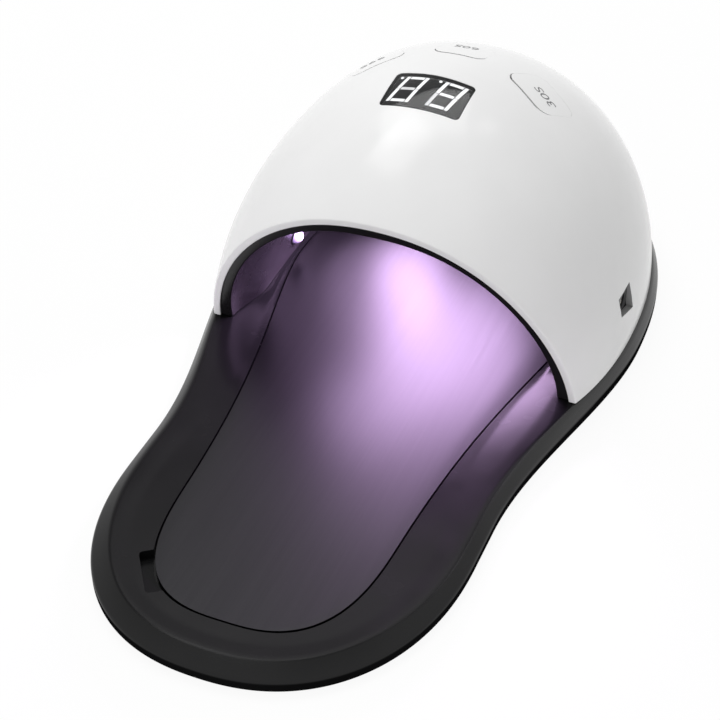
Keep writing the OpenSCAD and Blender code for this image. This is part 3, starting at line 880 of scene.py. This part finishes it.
def hand_plate_tree():
    """The plate: a grid whose half width follows one rule along the plate, given its thickness."""
    tree, given = new_tree(
        "hand_plate_shape", Front="Float", Rear="Float", Front_Half="Float", Swell="Float",
        Low="Float", Thickness="Float", Rows="Int", Columns="Int", Finish="Material",
    )
    number = {s.name: Sum(tree, s) for s in given if s.type == "VALUE"}
    front, rear = number["Front"], number["Rear"]
    corner_y, widest_y = PLATE_CORNER_Y * MM, PLATE_WIDEST_Y * MM
    grid = add_node(tree, "GeometryNodeMeshGrid", Vertices_X=given["Columns"], Vertices_Y=given["Rows"])
    position = add_node(tree, "GeometryNodeInputPosition").outputs["Position"]
    split = add_node(tree, "ShaderNodeSeparateXYZ", Vector=position).outputs
    across = Sum(tree, split["X"]) * 2.0
    turn = (Sum(tree, split["Y"]) + 0.5) * math.pi
    y = (front + rear) * 0.5 - (rear - front) * 0.5 * turn.maths("COSINE", turn)
    fall = (((widest_y - y).at_least(0) / (PLATE_FALL * MM)) ** PLATE_FALL_POWER) * -1.0
    nose = ((corner_y - y) / (corner_y - front)).round_end(PLATE_CORNER_POWER)
    ahead = (number["Front Half"] + number["Swell"] * fall.maths("EXPONENT", fall)) * nose
    tail = ((y - widest_y) / (rear - widest_y)).round_end(PLATE_REAR_POWER)
    behind = (number["Front Half"] + number["Swell"]) * tail
    x = ahead.maths("MINIMUM", ahead, behind) * across
    spot = add_node(tree, "ShaderNodeCombineXYZ", X=x, Y=y, Z=number["Low"]).outputs["Vector"]
    shape = add_node(tree, "GeometryNodeSetPosition", Geometry=grid.outputs["Mesh"], Position=spot)
    flat = welded(tree, shape.outputs["Geometry"])
    raised = add_node(
        tree, "GeometryNodeExtrudeMesh", Mesh=flat, Offset_Scale=number["Thickness"], Individual=False
    )
    under = add_node(tree, "GeometryNodeFlipFaces", Mesh=flat)
    both = add_node(tree, "GeometryNodeJoinGeometry", Geometry=raised.outputs["Mesh"])
    set_inputs(tree, both, Geometry=under.outputs["Mesh"])
    return end_tree(tree, given, welded(tree, both.outputs["Geometry"]))


# Hood and liner
def dome_shell(name, rows, outer_pole, inner_pole, finish):
    """Closed half dome from rows across it, closed by two poles at the back and flat along its foot."""
    count = len(rows[0])
    points = np.concatenate(rows + [np.array([outer_pole, inner_pole])])
    first = len(rows) * count
    faces = loft_faces(len(rows), count, False)
    for i in range(count - 1):
        faces.append((first, i + 1, i))
        faces.append((first + 1, first - count + i, first - count + i + 1))
    for i in (0, count - 1):
        column = [first] + [r * count + i for r in range(len(rows))] + [first + 1]
        faces.append(tuple(column if i else column[::-1]))
    return face_outwards(add_piece(name, points, faces, finish))


def key_matrix(k):
    x, y = (0, KEY_MIDDLE_Y) if k == 1 else ((k - 1) * KEY_SIDE_X, KEY_SIDE_Y)
    return Matrix.Translation((x, y, KEY_FRAME_Z)) @ turn_about("Z", (1 - k) * KEY_TURN)


def window_line(grow_by):
    return fine(rounded_line(WINDOW_W + 2 * grow_by, WINDOW_H + 2 * grow_by, WINDOW_CORNER + grow_by, 8))


def inlet_line(gap):
    """The four-sided outline of the inlet in Y and Z, its lower edge rising towards the front."""
    front, rear = INLET_Y - INLET_W / 2 + gap, INLET_Y + INLET_W / 2 - gap
    low, top = INLET_TOP - INLET_H + gap, INLET_TOP - gap
    return np.array([(front, low + INLET_RISE), (rear, low), (rear, top), (front, top)])


# Turns what was drawn in X, Y and raised in Z to Y, Z and along X
ALONG_X = Matrix(((0, 0, 1, 0), (1, 0, 0, 0), (0, 1, 0, 0), (0, 0, 0, 1)))


def sheet_on_hood(name, line, matrix, over, under, shares=SHEET_SHARES, finish=None, rounding=0.0):
    """Closed sheet between two depths under the hood's face, inside an outline, with rings inside that."""
    middle = line.mean(0)
    inner = [middle + (line - middle) * share for share in shares]
    rows = [on_hood(matrix, ring, over) for ring in inner]
    if rounding:
        rows.append(on_hood(matrix, inset_line(line, rounding), over))
    rows += [on_hood(matrix, line, over + rounding), on_hood(matrix, line, under)]
    rows += [on_hood(matrix, ring, under) for ring in inner[::-1]]
    return stack(name, rows, finish)


def hood_cutters():
    """Cutters for the window's seat, the keys and the inlet; returns them with the window's frame."""
    fall = hood_z(0, WINDOW_Y + TILT_SPAN) - hood_z(0, WINDOW_Y - TILT_SPAN)
    tilt = Matrix.Rotation(math.atan(fall / (2 * TILT_SPAN)), 4, "X")
    window = Matrix.Translation((0, WINDOW_Y, hood_z(0, WINDOW_Y))) @ tilt
    seat = sheet_on_hood("seat", window_line(WINDOW_GAP), window, SEAT_CUT, SEAT_UNDER)
    through = rounded_line(WINDOW_W - 2 * LEDGE, WINDOW_H - 2 * LEDGE, THROUGH_CORNER)
    cutters = [seat, place(prism("through", through, -THROUGH_CUT, THROUGH_CUT), window)]
    extra = KEY_SLIT - KEY_GAP
    line = rounded_line(KEY_W + 2 * KEY_GAP, KEY_D + 2 * KEY_GAP + extra, KEY_CORNER)
    for k in range(3):
        opening = prism("opening", line - np.array([0, extra / 2]), 0, KEY_CUT)
        cutters.append(place(opening, key_matrix(k)))
    cutters.append(place(prism("inlet", inlet_line(0), INLET_BACK_X, INLET_CUT), ALONG_X))
    return cutters, window


def make_hood():
    outer = Dome(hood_field, as_is, HOOD_STEPS)
    inner = Dome(lambda p: hood_field(p, HOOD_WALL), as_is, HOOD_STEPS)
    outer_rows = outer.rows(LIP_ROUND, HOOD_ROWS)
    inner_rows = inner.rows(LIP_ROUND, HOOD_INNER_ROWS)[::-1]
    a, b = outer.edge(0), inner.edge(0)
    across = unit(b - a) * LIP_ROUND
    lip = corner(outer_rows[-1], a, a + across, LIP_STEPS) + [a + across, b - across]
    lip += corner(b - across, b, inner_rows[0], LIP_STEPS)
    back = HOOD_Y + HOOD_BACK
    rows = outer_rows + lip + inner_rows
    hood = dome_shell("hood", rows, (0, back, SEAM_Z), (0, back - HOOD_WALL, SEAM_Z), WHITE)
    cutters, window = hood_cutters()
    carve(hood, *cutters)
    shade(hood)
    follow_hood(hood)
    # The white hood's faces that wall the inlet recess are painted grey: painted shade
    hood.data.materials.append(INLET_PAINTED_SHADE)
    low, high = (Vector(end) * MM for end in INLET_SHADE_BOX)
    for face in hood.data.polygons:
        inside = all(a < c < b for a, c, b in zip(low, face.center, high))
        face.material_index = int(inside and abs(face.normal.x) < 0.2)
    ride(hood, "housing", "white_shell", "top_shell")
    return window


def make_liner():
    inner = Dome(liner_field, flared, LINER_STEPS)
    outer = Dome(lambda p: liner_field(p, LINER_WALL), flared, LINER_STEPS)
    ring = Dome(lambda p: hood_field(p, HOOD_WALL + RING_GAP), as_is, LINER_STEPS)
    ring_back = RING_SETBACK + RING_DEPTH
    inner_rows = inner.rows(RING_SETBACK + LIP_ROUND, LINER_ROWS)
    edge = inner.edge(RING_SETBACK)
    ring_front = ring.edge(RING_SETBACK)
    across = unit(ring_front - edge) * LIP_ROUND
    rows = inner_rows + corner(inner_rows[-1], edge, edge + across, LIP_STEPS) + [edge + across]
    rows += [ring_front, ring.edge(ring_back)] + outer.rows(ring_back, LINER_OUTER_ROWS)[::-1]
    low = SEAM_Z + LINER_LIFT
    for row in rows:
        row[:, 2] = np.maximum(row[:, 2], low)
    back = HOOD_Y + LINER_BACK
    liner = dome_shell("liner", rows, (0, back, low), (0, back + LINER_WALL, low), DARK_LINER)
    shade(liner)
    ride(liner, "housing", "dark_liner", "reflector_liner")


def liner_point(th, up):
    """Point of the liner at an angle round it and an angle up it, in degrees."""
    c, s = math.cos(math.radians(th)), math.sin(math.radians(th))
    ring = math.cos(math.radians(up)) ** (2 / LINER_RISE_POWER)
    reach = LINER_FRONT if s < 0 else LINER_BACK
    x = LINER_HALF * math.copysign(abs(c) ** (2 / LINER_PLAN_POWER), c) * ring
    y = HOOD_Y + reach * math.copysign(abs(s) ** (2 / LINER_PLAN_POWER), s) * ring
    z = SEAM_Z + LINER_RISE * math.sin(math.radians(up)) ** (2 / LINER_RISE_POWER)
    return flared(np.array([x, y, z]))


def liner_inward(th, up):
    u = liner_point(th + 0.5, up) - liner_point(th - 0.5, up)
    v = liner_point(th, up + 0.5) - liner_point(th, up - 0.5)
    return unit(np.cross(v, u))


def make_lamps():
    points = [liner_point(*p) for p in LAMP_PLACES]
    inward = [liner_inward(*p) for p in LAMP_PLACES]
    arc = [math.radians(a) for a in range(0, 90, 10)]
    dome = [(LAMP_R * math.cos(a), LAMP_R * math.sin(a)) for a in arc]
    lens = turned("lens", [(0, -LAMP_BACK), (LAMP_R, -LAMP_BACK), *dome, (0, LAMP_R)], 28)
    rise = lens.data.attributes.new("dome", "FLOAT", "POINT")
    rise.data.foreach_set("value", [max(v.co.z / MM / LAMP_R, 0) ** 1.5 for v in lens.data.vertices])
    lenses = set_on_places("lamp_lenses", lens, points, inward, LAMP_LENS)
    shade(lenses, 50)
    ride(lenses, "housing", "lamp_lens", "led_lenses")
    bezel = band("bezel", [at_height(circle(r, 32), z) for r, z in BEZEL_SECTION])
    bezels = set_on_places("lamp_bezels", bezel, points, inward, DARK_LINER)
    shade(bezels, 40)
    ride(bezels, "housing", "dark_liner")


# Base and plate
def base_outline():
    return closed_line(base_half, -HALF_LENGTH, HALF_LENGTH, BASE_STEPS)


def base_rings():
    """Rings of the base from its underside up the edge, over the crest and down to the flat rest."""
    line = base_outline()
    y = line[:, 1]

    def flank_in(nose, mouth, rear, run):
        ahead = mix(nose, mouth, ease(y, -run, run))
        return np.where(y > 0, mix(mouth, rear, ease(y, 0, FLANK_RUN)), ahead)

    share = ease(y, -CREST_FADE, CREST_FADE)
    crest_z = mix(REST_Z + CREST_STEP, SEAM_Z - CREST_STEP, share)
    nose_in = mix(CREST_IN, CREST_IN_NOSE, ease(y, CREST_NOSE_Y, CREST_NOSE_Y))
    crest_in = np.where(y < CREST_NOSE_Y, nose_in, mix(CREST_IN, CREST_IN_REAR, share))
    flank_low = flank_in(*FLANK_LOW_IN)
    flank_round = mix(FLANK_ROUND, FLANK_ROUND_REAR, ease(y, 4, 14))[:, None]
    section = [
        (BOTTOM_BREAK, BASE_Z), (0, BASE_Z + BOTTOM_BREAK), (0, EDGE_TOP), (crest_in, crest_z),
        (flank_in(*FLANK_TOP_IN), crest_z), (flank_low, REST_Z), (flank_low + FLANK_FOOT, REST_Z),
    ]
    corners = [np.column_stack([np.broadcast_to(v, len(y)) for v in pair]) for pair in section]
    rings = [corners[0]]
    for k, most in enumerate([BREAK_ROUND, EDGE_ROUND, CREST_ROUND, flank_round, flank_round], 1):
        before, here, after = corners[k - 1:k + 2]
        back, on = here - before, after - here
        shorter = np.minimum(*(np.linalg.norm(side, axis=1)[:, None] for side in (back, on)))
        cut = np.minimum(most, ROUND_SHARE * shorter)
        start, end = here - unit(back) * cut, here + unit(on) * cut
        rings += [start, *corner(start, here, end, BASE_ROUND_STEPS), end]
    rings.append(corners[-1])
    return [np.column_stack([inset_line(line, ring[:, 0]), ring[:, 1]]) for ring in rings]


def base_cutters():
    front_y, rear_y = PLATE_FRONT_Y - PLATE_GAP, PLATE_REAR_Y + RECESS_REAR_GAP
    recess_line = closed_line(
        lambda y: recess_half(y, front_y, rear_y) + PLATE_GAP, front_y, rear_y, RECESS_STEPS
    )
    recess_line[np.abs(recess_line[:, 0]) < 2 * PLATE_GAP, 0] *= 0.5
    recess = prism("recess", recess_line, RECESS_FLOOR, RECESS_CUT)
    notch = prism("notch", rounded_line(NOTCH_W, NOTCH_LENGTH, NOTCH_CORNER), 0, ABOVE)
    turn = turn_about("Z", NOTCH_TURN) @ turn_about("X", -NOTCH_SLOPE)
    place(notch, Matrix.Translation((NOTCH_X, NOTCH_Y, RECESS_FLOOR + 1)) @ turn)
    return [recess, notch]


def channel_cutter():
    """The hollow under the rim, with ribs left standing in it."""
    outer, inner = (inset_line(base_outline(), depth) for depth in (CHANNEL_OUTER, CHANNEL_INNER))
    section = [(outer, BELOW), (outer, CHANNEL_TOP), (inner, CHANNEL_TOP), (inner, BELOW)]
    channel = band("channel", [at_height(line, z) for line, z in section])
    bar = rectangle(2 * HALF_LENGTH, RIB_W / 2)
    turns = [turn_about("Z", k * RIB_TURN) for k in range(int(180 / RIB_TURN))]
    carve(channel, *[place(prism("rib", bar, *RIB_CUT), turn) for turn in turns])
    keep = [turned_pin(p, COUNTERBORE_R + POST_WALL, *RIB_CUT) for p in mirrored(POST_PLACES)]
    keep.append(turned_pin((NOTCH_X, NOTCH_Y), NOTCH_LENGTH, *RIB_CUT))
    return carve(channel, *keep)


def turned_pin(spot, radius, low, high):
    pin = turned("pin", [(0, low), (radius, low), (radius, high), (0, high)], 36)
    return place(pin, Matrix.Translation((*spot, 0)))


def mark_edge(base):
    """Marks how polished the base is: most on the slope outside the crest, least on upright walls."""
    places = read(base.data.vertices, "co", 3) / MM
    lean = read(base.data.vertices, "normal", 3)[:, 2]
    y = places[:, 1]
    line = base_outline()
    reach = np.array([np.min(np.hypot(*(line - p[:2]).T)) for p in places])
    slope = ease(lean, 1, -0.1) * ease(lean, 0.15, 0.3) * mix(NOSE_POLISH, 1, ease(y, -70, 70))
    step = ease(lean, 0.99, -0.05) * ease(y, 2, 6)
    wall = ease(lean, 0.35, -0.3)
    outside = (reach < SLOPE_W) & (places[:, 2] > EDGE_TOP - 1)
    share = mix(TOP_POLISH * (1 - np.maximum(step, wall)), 1, np.where(outside, slope, 0))
    mark = base.data.attributes.new("edge", "FLOAT", "POINT")
    mark.data.foreach_set("value", share.astype(np.float32))


def make_base():
    base = stack("base", base_rings(), BLACK_BASE)
    screws = mirrored(POST_PLACES)
    holes = [turned_pin(p, HOLE_R, BELOW, ABOVE) for p in screws]
    seats = [turned_pin(p, COUNTERBORE_R, BELOW, SCREW_SEAT) for p in screws]
    seats += [turned_pin(p, FOOT_R + FOOT_GAP, BELOW, FOOT_HEIGHT) for p in mirrored(FOOT_PLACES)]
    carve(base, *base_cutters(), channel_cutter(), together("seats", seats), together("holes", holes))
    shade(base, 24)
    mark_edge(base)
    ride(base, "housing", "black_base", "base_tray")


def make_plate():
    plate = add_piece("hand_plate_satin", [(0, 0, 0)], [])
    grow(
        plate, hand_plate_tree(), Front=PLATE_FRONT_Y * MM, Rear=PLATE_REAR_Y * MM,
        Front_Half=PLATE_FRONT_HALF * MM, Swell=PLATE_SWELL * MM, Low=(REST_Z - PLATE_THICK) * MM,
        Thickness=PLATE_THICK * MM, Rows=PLATE_ROWS, Columns=PLATE_COLUMNS, Finish=SATIN_PLATE,
    )
    face_outwards(plate)
    edge = plate.modifiers.new("edge", "BEVEL")
    edge.width = PLATE_ROUND * MM
    edge.segments = 6
    edge.limit_method = "ANGLE"
    edge.angle_limit = math.radians(50)
    settle(plate)
    shade(plate, 30)
    ride(plate, "plate", "satin_plate", "hand_plate")


# Display, keys and marks
def make_keys():
    line = fine(rounded_line(KEY_W, KEY_D, KEY_CORNER, 14))
    for k in range(3):
        matrix = key_matrix(k)
        x, y = matrix.translation.xy
        key = sheet_on_hood(
            KEY_NAMES[k] + "_cap", line, matrix, 0, HOOD_WALL, finish=WHITE, rounding=KEY_ROUND
        )
        post = turned_pin((x, y), KEY_POST_R, PLUNGER_HIGH, float(hood_z(x, y)) - KEY_POST_COVER)
        carve(key, post, operation="UNION")
        shade(key, 40)
        follow_hood(key)
        ride(key, KEY_BODIES[k], "white_shell", KEY_NAMES[k])


def make_window(window):
    outer, inner = window_line(0), window_line(-LEDGE - TAPE_OVERLAP)
    pane = sheet_on_hood(
        "window_pane", outer, window, 0, PANE_UNDER, finish=SMOKED_WINDOW, rounding=PANE_ROUND
    )
    shade(pane, 40)
    follow_hood(pane)
    pane.data.materials.append(DISPLAY_BLACK)
    up = window.to_3x3().col[2]
    for face in pane.data.polygons:
        face.material_index = int(abs(face.normal.dot(up)) < 0.5)
    ride(pane, "housing", "smoked_window", "display_window")
    depths = [PANE_UNDER + TAPE_GAP, SEAT_UNDER - TAPE_GAP]
    rings = [on_hood(window, outer, d) for d in depths] + [on_hood(window, inner, d) for d in depths[::-1]]
    ride(band("window_tape", rings, DISPLAY_BLACK), "housing", "black_plastic")


def numeral_lines():
    """Outlines of one numeral: three strokes across, two up each side, and a dot at its upper left."""
    out, top, mid = NUMERAL_W / 2, NUMERAL_H / 2, STROKE_GAP / 2
    bar = out - STROKE - STROKE_GAP
    sides = [(-bar, bar, y - STROKE / 2, y + STROKE / 2) for y in (STROKE / 2 - top, 0, top - STROKE / 2)]
    for left in (-out, out - STROKE):
        sides += [(left, left + STROKE, -top, -mid), (left, left + STROKE, mid, top)]
    lines = [np.array([(a, c), (b, c), (b, d), (a, d)]) for a, b, c, d in sides]
    for line in lines:
        line[:, 0] += line[:, 1] * math.tan(NUMERAL_SLANT)
    return lines + [circle(DOT_R, 24) + [-out - DOT_R, top - DOT_R]]


def make_numerals(window):
    """Two numerals; the left one's middle stroke and the right one's lower left stroke are not lit, yet glow
    more dimly: painted glow.
    """
    lit, unlit = [], []
    for side, dark in ((-1, 1), (1, 3)):
        for k, line in enumerate(numeral_lines()):
            flat = fine(line) + [side * NUMERAL_PITCH / 2, 0] + np.array(NUMERAL_SHIFT)
            stroke = sheet_on_hood("stroke", flat, window, STROKE_OVER, STROKE_UNDER, [0.5])
            (unlit if k == dark else lit).append(stroke)
    numerals = together("numerals", lit)
    numerals.data.materials.append(LIT_NUMERALS)
    ride(numerals, "housing", "lit_numerals", "display_digits")
    # The strokes that are not lit get a dimmer glow: painted glow
    strokes = together("numeral_strokes_unlit", unlit)
    strokes.data.materials.append(UNLIT_NUMERALS_PAINTED_GLOW)
    ride(strokes, "housing", "lit_numerals")


def make_mark(name, text, x, y, turn, body):
    """A printed mark that lies on the hood."""
    letters = bpy.data.curves.new(name, "FONT")
    letters.body = text
    letters.size = MARK_SIZE
    letters.align_x = "CENTER"
    letters.align_y = "CENTER"
    holder = new_object("letters", letters)
    mesh = made_mesh(holder)
    bpy.data.objects.remove(holder)
    cells = bmesh.new()
    cells.from_mesh(mesh)
    bmesh.ops.triangulate(cells, faces=cells.faces)
    c, s = math.cos(math.radians(turn)), math.sin(math.radians(turn))
    for v in cells.verts:
        wide = MARK_WIDEN * v.co.x
        px, py = x + c * wide - s * v.co.y, y + s * wide + c * v.co.y
        v.co = Vector((px, py, float(hood_z(px, py)) + MARK_LIFT)) * MM
    cells.to_mesh(mesh)
    cells.free()
    mark = new_object(name, mesh)
    mesh.materials.clear()
    mesh.materials.append(PRINT_GREY)
    ride(mark, body, "black_plastic")


def make_marks():
    make_mark("mark_60", "60S", -0.3, 68.4, 180, "middle_key")
    make_mark("mark_30", "30S", 29.3, 58.5, 180 - KEY_TURN, "right_key")
    make_mark("mark_99", "99S", -29.1, 59.2, 180 + KEY_TURN, "left_key")


# Small pieces
def make_inlet():
    line = inlet_line(INLET_GAP)
    low, high, end = INLET_FLOOR_X, INLET_FACE_X, PIN_END_X
    rings = [at_height(line, INLET_BACK_X), at_height(line, high - INLET_BREAK)]
    rings.append(at_height(inset_line(line, INLET_BREAK), high))
    body = stack("inlet_body", rings, BLACK_PLASTIC)
    middle = Matrix.Translation((INLET_Y, INLET_Z, 0))
    wide, past = SOCKET_R + INLET_BREAK, high + 2
    bore = [(0, low), (SOCKET_R, low), (SOCKET_R, high - 0.25), (wide, high), (wide, past), (0, past)]
    carve(body, place(turned("bore", bore, 48), middle))
    place(body, ALONG_X)
    shade(body, 30)
    ride(body, "housing", "black_plastic", "dc_jack")
    profile = [(0, low), (PIN_R, low), (PIN_R, end - 0.8), (0.85, end - 0.3), (0.45, end), (0, end)]
    pin = turned("inlet_pin", profile, 32, PIN_METAL)
    place(pin, ALONG_X @ middle)
    shade(pin, 30)
    ride(pin, "housing", "pin_metal", "jack_pin")


def screw_pattern(shank_r, shank_top, head_r, head_h):
    """A screw that stands on its head, with a cross recess underneath."""
    profile = [
        (0, 0), (head_r - 0.9, 0), (head_r - 0.3, 0.3), (head_r, 0.9), (head_r, head_h),
        (shank_r, head_h), (shank_r, shank_top - 1), (0.4, shank_top), (0, shank_top),
    ]
    bar = rectangle(0.62 * head_r, 0.16 * head_r)
    slots = [place(prism("slot", bar, BELOW, 0.6 * head_h), turn_about("Z", a)) for a in (0, 90)]
    return carve(turned("screw", profile, 32), *slots)


def make_screws_and_feet():
    up = (0, 0, 1)
    low = SCREW_SEAT - SCREW_HEAD_H
    spots = [(x, y, low) for x, y in mirrored(POST_PLACES)]
    screw = screw_pattern(SCREW_R, SCREW_TOP - low, SCREW_HEAD_R, SCREW_HEAD_H)
    screws = set_on_places("case_screws_cross", screw, spots, [up] * len(spots), SCREW_STEEL)
    shade(screws, 35)
    ride(screws, "housing", "screw_steel", "case_screws")
    profile = [
        (0, 0.25), (2.2, 0.25), (2.6, 0), (5.2, 0), (5.8, 0.2), (FOOT_R, 0.6), (FOOT_R, FOOT_HEIGHT),
        (0, FOOT_HEIGHT),
    ]
    spots = [(x, y, 0) for x, y in mirrored(FOOT_PLACES)]
    pad = turned("pad", profile, 48)
    feet = set_on_places("rubber_foot_pads", pad, spots, [up] * len(spots), FOOT_RUBBER)
    shade(feet, 35)
    ride(feet, "housing", "foot_rubber", "rubber_feet")


def finish_inner_pieces():
    """The pieces inside the housing keep their solids and get their finishes."""
    finishes = {
        "display_module": DISPLAY_BLACK, "display_riser": BLACK_PLASTIC, "control_board": BOARD_GREEN,
        "board_parts": BLACK_PLASTIC, "board_screws": SCREW_STEEL, "tact_switches": BLACK_PLASTIC,
        "plunger_99": BLACK_PLASTIC, "plunger_60": BLACK_PLASTIC, "plunger_30": BLACK_PLASTIC,
        "led_boards": BOARD_ALUMINIUM, "hand_sensor": BLACK_PLASTIC, "power_wires": RED_WIRE,
    }
    for name, finish in finishes.items():
        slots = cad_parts[name].data.materials
        slots.clear()
        slots.append(finish)


# Stage
def background_rays(tree):
    """1 for what the camera, a mirror or a clear pane sees, else 0."""
    path = add_node(tree, "ShaderNodeLightPath").outputs
    kinds = ("Is Camera Ray", "Is Glossy Ray", "Is Transmission Ray")
    camera, glossy, clear = (Sum(tree, path[kind]) for kind in kinds)
    return camera.at_least(glossy).at_least(clear)


def show_blend(tree, share, first, second, output):
    """Mixes two shaders and shows the result."""
    blend = add_node(tree, "ShaderNodeMixShader", Fac=share)
    feed(tree, blend.inputs[1], first)
    feed(tree, blend.inputs[2], second)
    add_node(tree, output, Surface=blend.outputs["Shader"])


def make_floor():
    """Pale floor that looks nearly as white as the background."""
    material = bpy.data.materials.new("pale_floor")
    material.use_nodes = True
    tree = material.node_tree
    tree.nodes.clear()
    pale = add_node(tree, "ShaderNodeBsdfDiffuse", Color=(*grey(FLOOR_GREY), 1)).outputs["BSDF"]
    white = add_node(tree, "ShaderNodeEmission", Color=(1, 1, 1, 1)).outputs["Emission"]
    show_blend(tree, background_rays(tree) * FLOOR_WHITE, pale, white, "ShaderNodeOutputMaterial")
    corners = at_height(rectangle(FLOOR_HALF, FLOOR_HALF), 0)
    add_piece("floor", corners, [(0, 1, 2, 3)], material)


def make_world():
    world = bpy.data.worlds.new("studio")
    bpy.context.scene.world = world
    world.use_nodes = True
    tree = world.node_tree
    tree.nodes.clear()
    fill, white = (
        add_node(tree, "ShaderNodeBackground", Color=(1, 1, 1, 1), Strength=strength).outputs["Background"]
        for strength in (FILL_STRENGTH, 1.0)
    )
    show_blend(tree, background_rays(tree), fill, white, "ShaderNodeOutputWorld")


def add_lamp(name, at, aim, size, power, colour=(1, 1, 1), in_gloss=True):
    """Area lamp with a width and a height, or one size for a round lamp."""
    lamp = bpy.data.lights.new(name, "AREA")
    lamp.shape = "RECTANGLE" if len(size) == 2 else "DISK"
    lamp.size = size[0] * MM
    lamp.size_y = size[-1] * MM
    lamp.energy = power
    lamp.color = colour
    holder = new_object(name, lamp)
    at, aim = Vector(at) * MM, Vector(aim) * MM
    holder.location = at
    holder.rotation_euler = (aim - at).to_track_quat("-Z", "Y").to_euler()
    holder.visible_camera = False
    holder.visible_glossy = in_gloss


def make_lights():
    middle = (0, 40, 30)
    add_lamp("soft_back", (-186, 440, 860), middle, [700, 440], 3.7)
    add_lamp("soft_over", (-310, 180, 970), middle, [440, 360], 2.3)
    add_lamp("soft_front", (120, -900, 330), middle, [900, 600], 2.7, in_gloss=False)
    add_lamp("soft_strip", (283, 551, 764), middle, [90, 180], 0.15)
    add_lamp("glow_roof", (0, 58, 47), (-3, 37, 6), [54], 0.43, VIOLET)
    add_lamp("glow_rear", (-25, 82, 36), (5, 15, 6), [26], 0.13, VIOLET)
    add_lamp("glow_left", (-33, 62, 31), (0, 22, 6), [36], 0.026, VIOLET)
    add_lamp("glow_front", (-15, 18, 50), (-12, 8, 6), [30], 0.08, VIOLET)


def make_camera():
    a, e, r = (math.radians(v) for v in (CAMERA_AZIMUTH, CAMERA_ELEVATION, CAMERA_ROLL))
    back = Vector((math.sin(a) * math.cos(e), -math.cos(a) * math.cos(e), math.sin(e)))
    level = Vector((math.cos(a), math.sin(a), 0))
    rise = back.cross(level)
    right = math.cos(r) * level + math.sin(r) * rise
    up = math.cos(r) * rise - math.sin(r) * level
    lens = bpy.data.cameras.new("camera")
    lens.sensor_width = SENSOR_W
    lens.lens = CAMERA_LENS
    lens.clip_start = 0.01
    camera = new_object("camera", lens)
    at = (Vector(CAMERA_AIM) + back * CAMERA_DISTANCE) * MM
    camera.matrix_world = Matrix.Translation(at) @ Matrix((right, up, back)).transposed().to_4x4()
    bpy.context.scene.camera = camera


make_camera()
window_frame = make_hood()
make_liner()
make_lamps()
make_base()
make_plate()
make_keys()
make_window(window_frame)
make_numerals(window_frame)
make_marks()
make_inlet()
make_screws_and_feet()
finish_inner_pieces()
make_floor()
make_world()
make_lights()
bpy.context.scene.view_settings.view_transform = "Standard"
